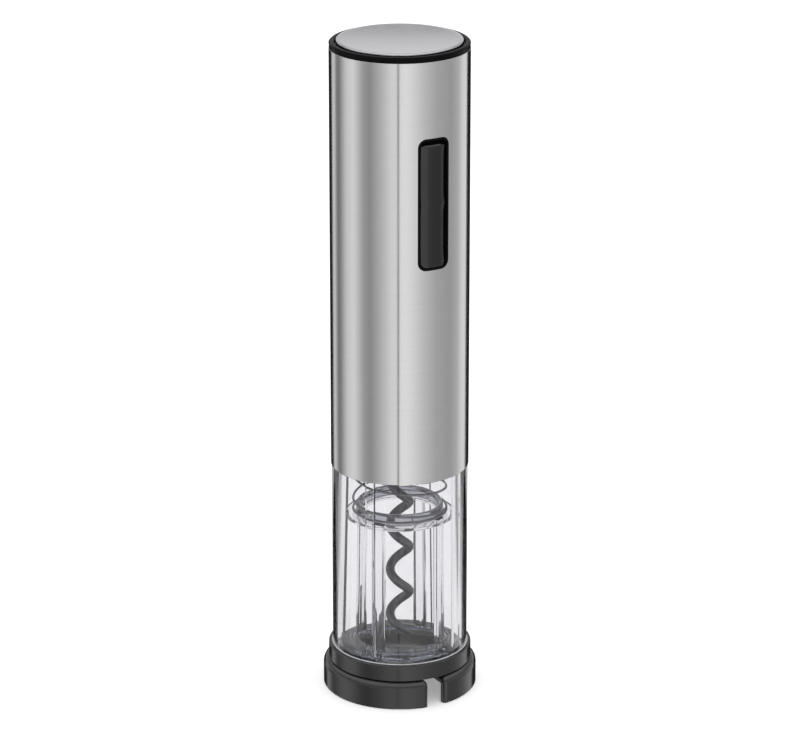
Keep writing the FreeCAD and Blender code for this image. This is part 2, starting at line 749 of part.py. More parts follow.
def housing_screw_set():
    """Screws along Y that join the two halves."""
    screws = []
    for level in SCREW_POST_LEVELS:
        for x in (-SCREW_POST_X, SCREW_POST_X):
            head = cylinder_along(V(0, 1, 0), SCREW_HEAD_R, V(x, -3.2, level), SCREW_HEAD)
            shank_start = V(x, -3.2 + SCREW_HEAD, level)
            shank = cylinder_along(V(0, 1, 0), SCREW_SHANK_R, shank_start, SCREW_SHANK)
            screws.append(head.fuse(shank))
    return screws


def housing_front(core):
    """The front half, with the button's opening and the rails that hold the circuit board."""
    half = core.common(box(-30, 30, -30, 0, 100, 240))
    half_height = WINDOW_HEIGHT / 2 + 1.3
    opening = box(-7.4, 7.4, -30, -19.0, BUTTON_Z - half_height, BUTTON_Z + half_height)
    room = box(-5.6, 5.6, -21.6, BOARD_BACK_Y, BUTTON_Z - 21.5, BUTTON_Z + 21.5)
    half = half.cut(opening)
    rails = []
    for sign in (-1, 1):
        side = box(5.6, 6.8, -20.1, -15.4, BUTTON_Z - 21.5, BUTTON_Z + 21.5)
        link = box(6.0, 9.5, -20.0, -18.8, BUTTON_Z - 21.5, BUTTON_Z + 21.5)
        lip = box(4.8, 5.8, BOARD_BACK_Y, -15.4, BUTTON_Z - 21.5, BUTTON_Z + 21.5)
        rail = side.fuse([link, lip])
        rails.append(rail if sign > 0 else mirrored_x(rail))
    half = half.fuse(rails)
    return half.cut(room).cut(cradle_block()).removeSplitter()


def housing_back(core):
    return core.common(box(-30, 30, 0, 30, 100, 240)).removeSplitter()


def m2_screws():
    """The small screws, all alike: housing halves, tube to housing, motor to gearbox."""
    screws = housing_screw_set()
    screws += [turned(radial_screw(), turn) for turn in tube_screw_turns()]
    for x in (-8.0, 8.0):
        head = cylinder(SCREW_HEAD_R, GEARBOX_TOP + 0.1, GEARBOX_TOP + 1.3, x)
        shank = cylinder(SCREW_SHANK_R, GEARBOX_TOP + 1.3, GEARBOX_TOP + 1.3 + SCREW_SHANK, x)
        screws.append(head.fuse(shank))
    return Part.makeCompound(screws)


# ---- button ----
def bezel_opening(y_low, y_high):
    width = WINDOW_WIDTH - 2 * BEZEL_WALL
    height = WINDOW_HEIGHT - 2 * BEZEL_WALL
    return window_block(width, height, WINDOW_CORNER_R - BEZEL_WALL, y_low, y_high, BUTTON_Z)


def button_bezel():
    """The black frame in the sleeve's window, with a flange behind the sleeve."""
    frame = window_block(WINDOW_WIDTH, WINDOW_HEIGHT, WINDOW_CORNER_R, -30, -15, BUTTON_Z)
    frame = frame.common(ring(BEZEL_FACE_R, HOUSING_BORE_R + 0.1, 150, 215))
    flange = box(-7.2, 7.2, -30, -15, BUTTON_Z - 24.1, BUTTON_Z + 24.1)
    flange = flange.common(ring(HOUSING_R, HOUSING_BORE_R + 0.1, 150, 215))
    bezel = frame.fuse(flange).cut(bezel_opening(-31, -10))
    pivot = cylinder_along(V(1, 0, 0), TRUNNION_R + RUN_GAP, V(-8, PIVOT_Y, BUTTON_Z), 16)
    return bezel.cut(pivot).removeSplitter()


def rocker_button():
    """The long rocker: a curved face with two finger dishes, and trunnions at its middle."""
    body = window_block(ROCKER_WIDTH, ROCKER_HEIGHT, 1.9, -30, ROCKER_BACK_Y, BUTTON_Z)
    rocker = body.common(cylinder(ROCKER_FACE_R, 150, 215))
    dish_r = 30.0
    dish_depth = 0.75
    for sign in (-1, 1):
        centre = V(0, -ROCKER_FACE_R + dish_depth - dish_r, BUTTON_Z + sign * ROCKER_HEIGHT / 4)
        rocker = rocker.cut(Part.makeSphere(dish_r, centre))
    hub = cylinder_along(V(1, 0, 0), 1.6, V(-ROCKER_WIDTH / 2, PIVOT_Y, BUTTON_Z), ROCKER_WIDTH)
    trunnion = cylinder_along(V(1, 0, 0), TRUNNION_R, V(-5.7, PIVOT_Y, BUTTON_Z), 11.4)
    return rocker.fuse([hub.common(box(-9, 9, -22.5, -15, 150, 215)), trunnion]).removeSplitter()


def button_pad():
    """The soft membrane between the rocker and the two switches."""
    outer = box(-5.3, 5.3, -20.1, BOARD_FACE_Y, BUTTON_Z - 20.8, BUTTON_Z + 20.8)
    inner = box(-4.7, 4.7, -19.6, BOARD_FACE_Y + 1, BUTTON_Z - 20.2, BUTTON_Z + 20.2)
    return outer.cut(inner)


def circuit_board():
    board = box(-5.5, 5.5, BOARD_FACE_Y, BOARD_BACK_Y, BUTTON_Z - 21.2, BUTTON_Z + 21.2)
    chip = box(-2.0, 2.0, -18.3, BOARD_FACE_Y, BUTTON_Z - 3.0, BUTTON_Z + 3.0)
    return board.fuse(chip).removeSplitter()


def switch_bodies():
    """Two square push switches soldered to the board."""
    switches = []
    for sign in (-1, 1):
        z_mid = BUTTON_Z + sign * SWITCH_OFFSET
        body = box(-3, 3, SWITCH_FACE_Y, BOARD_FACE_Y, z_mid - 3, z_mid + 3)
        well = cylinder_along(V(0, 1, 0), PLUNGER_R + RUN_GAP, V(0, SWITCH_FACE_Y - 1, z_mid), 2.3)
        switches.append(body.cut(well))
    return Part.makeCompound(switches)


def switch_plunger(sign):
    z_mid = BUTTON_Z + sign * SWITCH_OFFSET
    return cylinder_along(V(0, 1, 0), PLUNGER_R, V(0, PLUNGER_TIP_Y, z_mid), 1.5)


# ---- batteries and cap ----
def cell_places():
    return [(sx * CELL_OFFSET, sy * CELL_OFFSET) for sx in (-1, 1) for sy in (-1, 1)]


def cradle_block():
    """The space that the cradle fills, flat at the front where the circuit board stands."""
    return cylinder(CRADLE_R, CRADLE_LOW, CRADLE_TOP).common(box(-30, 30, -15.3, 30, 170, 235))


def battery_cradle():
    cradle = cradle_block()
    for x, y in cell_places():
        cradle = cradle.cut(cylinder(CELL_R + 0.1, CRADLE_FLOOR, 240, x, y))
    return cradle.removeSplitter()


def battery_cells():
    """Four round cells, alternate ones upside down."""
    cells = []
    for x, y in cell_places():
        upright = x * y > 0
        can_low = CELL_LOW if upright else CELL_LOW + CELL_NUB
        can = cylinder(CELL_R, can_low, can_low + CELL_CAN, x, y)
        nub_low = can_low + CELL_CAN if upright else CELL_LOW
        nub = cylinder(2.6, nub_low, nub_low + CELL_NUB, x, y)
        cells.append(can.fuse(nub))
    return Part.makeCompound(cells)


def cell_contacts():
    """The coil springs and plates under the cells."""
    contacts = []
    for x, y in cell_places():
        plate = cylinder(5.0, CRADLE_FLOOR, CRADLE_FLOOR + 0.3, x, y)
        if x * y > 0:
            turn = coil(3.2, 0.3, 0.8, CRADLE_FLOOR + 0.58, 1.0)
            contacts.append(plate.fuse(moved(turn, x, y)))
        else:
            contacts.append(plate.fuse(cylinder(2.0, CRADLE_FLOOR + 0.3, CELL_LOW - 0.05, x, y)))
    return Part.makeCompound(contacts)


def cap_base():
    """The black cap: a rim round the steel disc and a spigot that plugs the housing."""
    bevel = 0.5
    cap = spun([
        (0, CAP_LOW),
        (SPIGOT_R - SPIGOT_WALL, CAP_LOW),
        (SPIGOT_R - SPIGOT_WALL, SPIGOT_LOW),
        (SPIGOT_R - 0.5, SPIGOT_LOW),
        (SPIGOT_R, SPIGOT_LOW + 0.5),
        (SPIGOT_R, CAP_LOW),
        (CAP_R, CAP_LOW),
        (CAP_R, CAP_RIM_TOP - bevel),
        (CAP_R - bevel, CAP_RIM_TOP),
        (DISC_R + 0.5, CAP_RIM_TOP),
        (DISC_R + 0.5, CAP_PLATE_TOP),
        (0, CAP_PLATE_TOP),
    ])
    return cap


def top_disc():
    """A steel disc, slightly dished, with a round edge that stands above the cap's rim."""
    edge_r = 0.35
    rim_r = DISC_R - 1.0
    disc = spun([
        (0, CAP_PLATE_TOP),
        (DISC_R, CAP_PLATE_TOP),
        (DISC_R, TOTAL_HEIGHT - edge_r),
        corner_arc((DISC_R - edge_r, TOTAL_HEIGHT - edge_r), edge_r, 0, 90),
        (0, TOTAL_HEIGHT),
    ])
    dish_r = (rim_r ** 2 + DISC_DISH ** 2) / (2 * DISC_DISH)
    return disc.cut(Part.makeSphere(dish_r, V(0, 0, TOTAL_HEIGHT - DISC_DISH + dish_r)))


def cap_contacts():
    """Two bridge plates under the cap, each joining a pair of cells."""
    bridges = []
    for x in (-CELL_OFFSET, CELL_OFFSET):
        bridges.append(box(x - 4.0, x + 4.0, -11.0, 11.0, CAP_LOW - 0.5, CAP_LOW))
    return Part.makeCompound(bridges)


# ---- assembly ----
def all_nodes():
    core = housing_core()
    right_pins = wheel_pins_right()
    right_spring = jaw_spring_right()
    nodes = {
        "cutter_cap": cutter_cap(),
        "jaw_guide_screws": jaw_guide_screws(),
        "jaw_right": jaw_right(),
        "jaw_cover_right": jaw_cover_right(),
        "wheel_pins_right": right_pins,
        "wheel_pins_left": mirrored_x(right_pins),
        "jaw_spring_right": right_spring,
        "jaw_spring_left": mirrored_x(right_spring),
        "clear_tube": clear_tube(),
        "cork_guide_frame": cork_guide_frame(),
        "cork_guide_collar": cork_guide_collar(),
        "guide_spring": guide_spring(),
        "worm": worm(),
        "worm_hub": worm_hub(),
        "hub_grub_screw": hub_grub_screw(),
        "output_carrier": output_carrier(),
        "output_bush": output_bush(),
        "carrier_stage_2": sun_carrier(2),
        "carrier_stage_1": sun_carrier(1),
        "motor_pinion": motor_pinion(),
        "ring_gear_housing": ring_gear_housing(),
        "gearbox_end_plate": gearbox_end_plate(),
        "motor_can": motor_can(),
        "motor_end_cap": motor_end_cap(),
        "motor_magnets": motor_magnets(),
        "motor_shaft": motor_shaft(),
        "motor_armature": motor_armature(),
        "motor_leads": motor_leads(),
        "steel_sleeve": steel_sleeve(),
        "housing_front": housing_front(core),
        "housing_back": housing_back(core),
        "m2_screws": m2_screws(),
        "button_bezel": button_bezel(),
        "rocker_button": rocker_button(),
        "button_pad": button_pad(),
        "circuit_board": circuit_board(),
        "switch_bodies": switch_bodies(),
        "switch_plunger_top": switch_plunger(1),
        "switch_plunger_bottom": switch_plunger(-1),
        "battery_cradle": battery_cradle(),
        "battery_cells": battery_cells(),
        "cell_contacts": cell_contacts(),
        "cap_base": cap_base(),
        "top_disc": top_disc(),
        "cap_contacts": cap_contacts(),
    }
    nodes["jaw_left"] = mirrored_x(nodes["jaw_right"])
    nodes["jaw_cover_left"] = mirrored_x(nodes["jaw_cover_right"])
    for place, (x, y) in zip(("front", "rear"), wheel_places()):
        nodes["cutter_wheel_right_" + place] = cutter_wheel(x, y)
        nodes["cutter_wheel_left_" + place] = cutter_wheel(-x, y)
    for stage in STAGES:
        for number in range(PLANETS):
            nodes["planet_%d_%s" % (stage, "abc"[number])] = planet(stage, number)
    return nodes


def main():
    os.makedirs("parts", exist_ok=True)
    for name, shape in all_nodes().items():
        if not shape.isValid() or shape.Volume <= 0:
            print("check this shape:", name, shape.isValid(), round(shape.Volume, 2))
        shape.exportStep(os.path.join("parts", name + ".step"))


main()
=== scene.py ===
"""Electric wine opener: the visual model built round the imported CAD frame.

Lengths in the tables are millimetres; the meshes are made in metres in the row frame.
Directions round the axis are in degrees from +X, counter-clockwise seen from above.
"""
import json
import math

import bmesh
import bpy
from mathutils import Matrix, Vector


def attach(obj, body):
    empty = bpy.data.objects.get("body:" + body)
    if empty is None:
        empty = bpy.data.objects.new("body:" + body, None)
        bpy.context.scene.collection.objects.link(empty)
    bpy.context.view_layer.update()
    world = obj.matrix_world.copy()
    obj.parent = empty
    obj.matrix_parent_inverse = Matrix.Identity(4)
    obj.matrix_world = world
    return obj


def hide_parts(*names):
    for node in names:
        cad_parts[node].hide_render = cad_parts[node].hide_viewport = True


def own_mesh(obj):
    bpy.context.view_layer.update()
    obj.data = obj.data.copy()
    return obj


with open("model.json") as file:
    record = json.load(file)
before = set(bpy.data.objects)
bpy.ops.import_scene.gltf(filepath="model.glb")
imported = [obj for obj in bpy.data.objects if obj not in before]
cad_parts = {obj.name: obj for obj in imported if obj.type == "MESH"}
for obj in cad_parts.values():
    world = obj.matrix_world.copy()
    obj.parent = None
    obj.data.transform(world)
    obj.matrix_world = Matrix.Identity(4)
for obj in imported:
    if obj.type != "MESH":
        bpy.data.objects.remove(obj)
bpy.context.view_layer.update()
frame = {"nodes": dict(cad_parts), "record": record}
NODES = frame["nodes"]
MM = 0.001

# ---- sizes in millimetres, as in the CAD model ----
BODY_R = 24.0
SLEEVE_WALL = 0.5
SLEEVE_LOW, SLEEVE_TOP = 82.8, 231.6
SLEEVE_EDGE_R = 0.09
BUTTON_Z = 182.3
WINDOW_W, WINDOW_H, WINDOW_CORNER = 11.8, 46.0, 3.0
PATCH_HALF_W, PATCH_HALF_H = 9.0, 27.5
BEZEL_WALL, BEZEL_GAP = 0.8, 0.02
BEZEL_FACE_R = 24.15
BEZEL_FLANGE_HALF_W, BEZEL_FLANGE_HALF_H, BEZEL_FLANGE_CORNER = 7.2, 24.1, 0.5
HOUSING_R, HOUSING_BORE_R = 23.4, 21.4
ROCKER_W, ROCKER_H, ROCKER_CORNER = 9.6, 44.0, 1.9
ROCKER_FACE_R = 24.25
ROCKER_BACK_Y = -21.2
ROCKER_FLAT_HALF, ROCKER_SIDE_SLOPE, ROCKER_DISH = 2.4, 0.28, 0.35
ROCKER_RIDGE_HALF, ROCKER_DISH_END, ROCKER_DISH_FADE = 4.0, 14.0, 8.0
ROCKER_CHAMFER_Z, ROCKER_CHAMFER_SLOPE, ROCKER_EDGE_R = 20.2, 1.1, 0.2
PIVOT_Y, AXLE_R, AXLE_REACH = -21.9, 0.75, 0.2
CAP_R, CAP_LOW, CAP_RIM_TOP = 24.0, 231.7, 233.6
DISC_R, DISC_TOP, DISC_DISH = 21.6, 234.3, 0.35
DISC_LAND, DISC_EDGE_R = 1.0, 0.35
CAP_PLATE_TOP = 232.6
SPIGOT_R, SPIGOT_LOW = 21.1, 226.5
TUBE_R, TUBE_BORE_R, TUBE_NECK_R = 23.7, 21.5, 23.4
TUBE_LOW, TUBE_TOP = 12.6, 112.0
COLLAR_TOP = 15.7
RIB_INNER_R, RIB_HALF_W, RIB_TOP = 20.3, 1.5, 106.9
RIB_COUNT, RIB_TURN = 4, 33.0
LIP_R, LIP_TOP = 20.4, 15.4
GUIDE_LOW, GUIDE_RING_TOP, GUIDE_RING_R, GUIDE_BORE_R = 15.8, 19.0, 19.85, 13.8
GUIDE_RIDGES, RIDGE_H = 5, 0.5
LEG_INNER_R, LEG_OUTER_R, LEG_HALF_W = 14.05, 16.15, 2.25
KEY_INNER_R, KEY_OUTER_R, KEY_HALF_W, KEY_OFFSET = 18.65, 21.0, 0.72, 2.55
FLANGE_LOW, FLANGE_TOP, FLANGE_R = 63.6, 65.6, 18.9
COLLAR_RING_R, COLLAR_RING_TOP_R, COLLAR_RING_BORE_R, COLLAR_RING_TOP = 15.55, 14.9, 12.9, 68.8
COIL_R, COIL_WIRE_R, COIL_TOP, COIL_TURNS = 16.2, 0.4, 112.4, 5.5
COIL_CLOSED_TURNS, COIL_CLOSED_PITCH = 1.0, 0.86
COIL_START = math.radians(-29.0)
COIL_END_GAP = 0.05
JAW_COIL_R, JAW_COIL_WIRE_R, JAW_COIL_TURNS = 1.4, 0.25, 5
JAW_COIL_IN, JAW_COIL_OUT, JAW_COIL_Z = 17.25, 24.29, 5.0
WORM_R, WORM_WIRE_R, WORM_PITCH, WORM_TIP = 4.835, 1.55, 16.2, 18.0
WORM_TAPER_TURNS, WORM_POINT_R = 0.62, 0.16
WORM_ROOT_LOW, WORM_ROOT_TOP, WORM_ROOT_R = 105.0, 109.0, 5.1

# ---- refraction, steps round a turned piece, and the colour sockets of a Mix node ----
TUBE_IOR, GUIDE_IOR = 1.49, 1.38
SEGMENTS, INNER_SEGMENTS = 224, 160
MIX_A, MIX_B, MIX_OUT = 6, 7, 2


# ---- mesh helpers ----
def new_object(name, verts, faces):
    """A mesh object from vertices in millimetres."""
    mesh = bpy.data.meshes.new(name)
    mesh.from_pydata([(x * MM, y * MM, z * MM) for x, y, z in verts], [], faces)
    mesh.update()
    piece = bpy.data.objects.new(name, mesh)
    bpy.context.scene.collection.objects.link(piece)
    return piece


def tidy(piece, sharp_deg=35.0, weld=1e-6):
    """Welds, turns the faces outwards, and shades smooth with sharp edges where faces meet steeply."""
    mesh = piece.data
    work = bmesh.new()
    work.from_mesh(mesh)
    bmesh.ops.remove_doubles(work, verts=work.verts, dist=weld)
    bmesh.ops.dissolve_degenerate(work, edges=work.edges, dist=weld * 0.5)
    bmesh.ops.recalc_face_normals(work, faces=work.faces)
    work.to_mesh(mesh)
    work.free()
    mesh.shade_smooth()
    mesh.set_sharp_from_angle(angle=math.radians(sharp_deg))
    return piece


def rounded(points, steps=5):
    """An outline of (r, z) or (r, z, fillet) points with each fillet drawn as an arc."""
    out = []
    count = len(points)
    for index, point in enumerate(points):
        here = Vector(point[:2])
        size = point[2] if len(point) > 2 else 0.0
        if size <= 0:
            out.append((here.x, here.y))
            continue
        before = (Vector(points[index - 1][:2]) - here).normalized()
        after = (Vector(points[(index + 1) % count][:2]) - here).normalized()
        half = before.angle(after) / 2
        reach = size / math.tan(half)
        middle = (before + after).normalized()
        centre = here + middle * (size / math.sin(half))
        start = here + before * reach - centre
        sweep = math.pi - 2 * half
        sign = 1 if start.x * after.y - start.y * after.x > 0 else -1
        for step in range(steps + 1):
            angle = sign * sweep * step / steps
            c, s = math.cos(angle), math.sin(angle)
            out.append((centre.x + start.x * c - start.y * s, centre.y + start.x * s + start.y * c))
    return out


def closed_faces(rings, count):
    """Quads from each ring of count points to the next, closed both ways round."""
    faces = []
    for ring in range(rings):
        after = (ring + 1) % rings
        for k in range(count):
            n = (k + 1) % count
            faces.append((ring * count + k, after * count + k, after * count + n, ring * count + n))
    return faces


def lathe(name, outline, segments=SEGMENTS, sharp_deg=35.0):
    """A closed outline of (r, z) points turned round Z."""
    verts = []
    for turn in range(segments):
        angle = 2 * math.pi * turn / segments
        c, s = math.cos(angle), math.sin(angle)
        verts += [(r * c, r * s, z) for r, z in outline]
    count = len(outline)
    # a stretch along the axis itself makes no faces
    faces = [face for face in closed_faces(segments, count)
             if outline[face[0] % count][0] > 0 or outline[face[3] % count][0] > 0]
    return tidy(new_object(name, verts, faces), sharp_deg)


def swept_tube(name, centres, frames, radii, ring_points=20):
    """A tube through centres. frames gives two unit directions across it at each centre."""
    verts, faces = [], []
    for centre, (side, up), radius in zip(centres, frames, radii):
        for k in range(ring_points):
            angle = 2 * math.pi * k / ring_points
            verts.append(centre + side * (radius * math.cos(angle)) + up * (radius * math.sin(angle)))
    rings = len(centres)
    for index in range(rings - 1):
        for k in range(ring_points):
            n = (k + 1) % ring_points
            faces.append((index * ring_points + k, index * ring_points + n,
                          (index + 1) * ring_points + n, (index + 1) * ring_points + k))
    faces.append(tuple(reversed(range(ring_points))))
    faces.append(tuple(range((rings - 1) * ring_points, rings * ring_points)))
    return tidy(new_object(name, verts, faces), 60.0)


def helix_frames(radius, pitch, low, start_turn, turns, hand, steps):
    """Centres and cross directions along a helix; hand is +1 for right-handed, -1 for left-handed."""
    centres, frames = [], []
    for index in range(steps + 1):
        turn = turns * index / steps
        angle = hand * 2 * math.pi * turn + start_turn * 2 * math.pi
        outward = Vector((math.cos(angle), math.sin(angle), 0))
        centres.append(outward * radius + Vector((0, 0, low + pitch * turn)))
        around = Vector((-math.sin(angle), math.cos(angle), 0)) * hand
        along = (around * 2 * math.pi * radius + Vector((0, 0, pitch))).normalized()
        frames.append((outward, along.cross(outward).normalized()))
    return centres, frames


def rounded_box_distance(x, z, half_w, half_h, corner):
    """Signed distance from a rectangle with round corners, negative inside."""
    dx = abs(x) - (half_w - corner)
    dz = abs(z) - (half_h - corner)
    return math.hypot(max(dx, 0), max(dz, 0)) + min(max(dx, dz), 0) - corner


def outline_hit(target, half_w, half_h, corner):
    """The outline's point on the way from the rectangle's middle line to a target outside it."""
    spine = max(half_h - half_w, 0)
    start = (0.0, max(-spine, min(spine, target[1])))
    low, high = 0.0, 1.0
    for _ in range(40):
        middle = (low + high) / 2
        x = start[0] + (target[0] - start[0]) * middle
        z = start[1] + (target[1] - start[1]) * middle
        if rounded_box_distance(x, z, half_w, half_h, corner) < 0:
            low = middle
        else:
            high = middle
    return (start[0] + (target[0] - start[0]) * low, start[1] + (target[1] - start[1]) * low)


def bevel(piece, width_mm):
    """Rounds the edges where faces meet at more than 40 degrees."""
    modifier = piece.modifiers.new("edge_round", "BEVEL")
    modifier.width = width_mm * MM
    modifier.segments = 2
    modifier.limit_method = "ANGLE"
    modifier.angle_limit = math.radians(40)
    modifier.harden_normals = True
    return piece


def on_cylinder(radius, x, z):
    """The point at x on the side of a cylinder that faces the button."""
    return (x, -math.sqrt(max(radius * radius - x * x, 0)), z)


# ---- material helpers ----
def mix_colours(nodes, links, factor, colour_a, colour_b):
    """A colour between a and b, each a tuple or another node's output."""
    made = nodes.new("ShaderNodeMix")
    made.data_type = "RGBA"
    links.new(factor, made.inputs["Factor"])
    for index, colour in ((MIX_A, colour_a), (MIX_B, colour_b)):
        if isinstance(colour, tuple):
            made.inputs[index].default_value = (*colour, 1.0)
        else:
            links.new(colour, made.inputs[index])
    return made.outputs[MIX_OUT]


class Surface:
    """A Principled material with short calls for the nodes that vary it."""

    def __init__(self, name, colour, roughness, metallic=0.0):
        self.material = bpy.data.materials.new(name)
        self.material.use_nodes = True
        self.nodes = self.material.node_tree.nodes
        self.links = self.material.node_tree.links
        self.shader = self.nodes["Principled BSDF"]
        self.set("Base Color", (*colour, 1.0))
        self.set("Roughness", roughness)
        self.set("Metallic", metallic)

    def set(self, socket, value):
        self.shader.inputs[socket].default_value = value

    def link(self, source, socket):
        self.links.new(source, self.shader.inputs[socket])

    def node(self, kind, **inputs):
        made = self.nodes.new(kind)
        for key, value in inputs.items():
            made.inputs[key.replace("_", " ")].default_value = value
        return made

    def place(self, scale):
        """Object coordinates in millimetres times a scale on each axis."""
        where = self.node("ShaderNodeTexCoord")
        mapping = self.nodes.new("ShaderNodeMapping")
        mapping.inputs["Scale"].default_value = [s / MM for s in scale]
        self.links.new(where.outputs["Object"], mapping.inputs["Vector"])
        return mapping.outputs["Vector"]

    def noise(self, scale, detail=3.0, rough=0.55):
        """Noise with its frequency per millimetre on each axis."""
        made = self.node("ShaderNodeTexNoise", Scale=1.0, Detail=detail, Roughness=rough)
        self.links.new(self.place(scale), made.inputs["Vector"])
        return made.outputs["Fac"]

    def spread(self, source, low, high, source_low=0.3, source_high=0.7):
        """A value mapped from its usual range to low..high."""
        made = self.node("ShaderNodeMapRange")
        self.links.new(source, made.inputs["Value"])
        made.inputs["From Min"].default_value = source_low
        made.inputs["From Max"].default_value = source_high
        made.inputs["To Min"].default_value = low
        made.inputs["To Max"].default_value = high
        return made.outputs["Result"]

    def blend(self, factor, colour_a, colour_b):
        return mix_colours(self.nodes, self.links, factor, colour_a, colour_b)

    def add(self, first, second):
        made = self.nodes.new("ShaderNodeMath")
        made.operation = "ADD"
        self.links.new(first, made.inputs[0])
        self.links.new(second, made.inputs[1])
        return made.outputs[0]

    def bump(self, height, strength, distance_mm):
        made = self.node("ShaderNodeBump", Strength=strength, Distance=distance_mm * MM)
        self.links.new(height, made.inputs["Height"])
        self.link(made.outputs["Normal"], "Normal")

    def mottle(self, pattern, colour, tone):
        """The base colour, a share darker to a share lighter with the pattern."""
        dark = tuple(c * (1 - tone) for c in colour)
        light = tuple(min(c * (1 + tone), 1.0) for c in colour)
        self.link(self.blend(self.spread(pattern, 0.0, 1.0), dark, light), "Base Color")

    def uneven_gloss(self, fine, fine_reach, cloud, roughness, cloud_reach):
        """The roughness, varied by a fine pattern and a cloudy one."""
        self.link(self.add(self.spread(fine, -fine_reach, fine_reach),
                           self.spread(cloud, roughness - cloud_reach, roughness + cloud_reach)), "Roughness")


def plastic(name, colour, roughness, grain_mm=0.35, grain_bump=0.12, tone=0.12, specular=0.5):
    """Moulded plastic: fine surface grain, cloudy tone and slightly uneven gloss."""
    made = Surface(name, colour, roughness)
    cloud = made.noise((0.09, 0.09, 0.07), 4.0)
    speck = made.noise((1 / grain_mm,) * 3, 2.0)
    made.mottle(cloud, colour, tone)
    made.uneven_gloss(speck, 0.04, cloud, roughness, 0.03)
    made.bump(speck, grain_bump, 0.02)
    made.set("Specular IOR Level", specular)
    return made.material


def metal(name, colour, roughness, stretch=(2.0, 2.0, 2.0), tone=0.08, bump=0.08):
    """Metal with fine tool marks; stretch is the marks' frequency per millimetre on each axis."""
    made = Surface(name, colour, roughness, 1.0)
    marks = made.noise(stretch, 4.0, 0.6)
    cloud = made.noise((0.06, 0.06, 0.05), 3.0)
    made.mottle(marks, colour, tone)
    made.uneven_gloss(marks, 0.05, cloud, roughness, 0.02)
    made.bump(marks, bump, 0.01)
    return made.material


def clear_plastic(name, colour, roughness=0.02, ior=1.5):
    """Clear moulded plastic with a faint flow tint and slightly uneven polish, and its tint's output."""
    made = Surface(name, colour, roughness)
    made.set("Transmission Weight", 1.0)
    made.set("IOR", ior)
    flow = made.noise((0.05, 0.05, 0.02), 2.0)
    speck = made.noise((1.5, 1.5, 1.5), 2.0)
    made.link(made.spread(speck, roughness * 0.6, roughness * 1.6), "Roughness")
    light = tuple(min(c * 1.02, 1.0) for c in colour)
    tint = made.blend(made.spread(flow, 0.0, 1.0), colour, light)
    made.link(tint, "Base Color")
    return made, tint


def tube_plastic():
    """The tube's outer wall: clear, with a slightly weaker gloss than its inner parts."""
    made = clear_plastic("tube_outer_wall", (0.90, 0.895, 0.915), ior=TUBE_IOR)[0]
    made.set("Specular IOR Level", 0.3)
    return made.material


def guide_plastic_painted_shade():
    """The guide's clear moulding, with painted shade: the funnel near the black base turns dark, standing in
    for the base's shade seen through it.
    """
    made, tint = clear_plastic("guide_clear_painted_shade", (0.93, 0.93, 0.945), ior=GUIDE_IOR)
    where = made.node("ShaderNodeTexCoord")
    parts = made.nodes.new("ShaderNodeSeparateXYZ")
    made.links.new(where.outputs["Object"], parts.inputs["Vector"])
    # painted shade: below the funnel ring's top the colour goes dark blue-grey, standing in for the black
    # base seen through it
    funnel = made.spread(parts.outputs["Z"], 1.0, 0.0, (GUIDE_RING_TOP - 0.3) * MM,
                         (GUIDE_RING_TOP + 0.9) * MM)
    made.link(made.blend(funnel, tint, (0.20, 0.22, 0.27)), "Base Color")
    return made.material


def sleeve_steel():
    """Stainless steel brushed round the body: long fine streaks with a few brighter ones."""
    made = Surface("brushed_sleeve", (0.72, 0.72, 0.73), 0.2, 1.0)
    fine = made.noise((0.05, 0.05, 7.0), 4.0, 0.6)
    broad = made.noise((0.10, 0.10, 2.0), 3.0, 0.55)
    cloud = made.noise((0.03, 0.03, 0.02), 2.0)
    tone = made.blend(made.spread(fine, 0.0, 1.0), (0.69, 0.69, 0.695), (0.735, 0.735, 0.74))
    streak = made.spread(broad, 0.0, 0.4, 0.62, 0.78)
    made.link(made.blend(streak, tone, (0.79, 0.79, 0.79)), "Base Color")
    uneven = made.add(made.spread(fine, -0.02, 0.02), made.spread(cloud, 0.165, 0.19))
    made.link(uneven, "Roughness")
    made.bump(fine, 0.02, 0.006)
    made.set("Anisotropic", 0.95)
    made.set("Anisotropic Rotation", 0.25)
    direction = made.nodes.new("ShaderNodeTangent")
    direction.direction_type = "RADIAL"
    direction.axis = "Z"
    made.link(direction.outputs["Tangent"], "Tangent")
    return made.material


def deep_black(name):
    """Black trim that stays dark even where it is looked along."""
    return plastic(name, (0.004, 0.004, 0.0045), 0.3, 0.4, 0.03, specular=0.04)


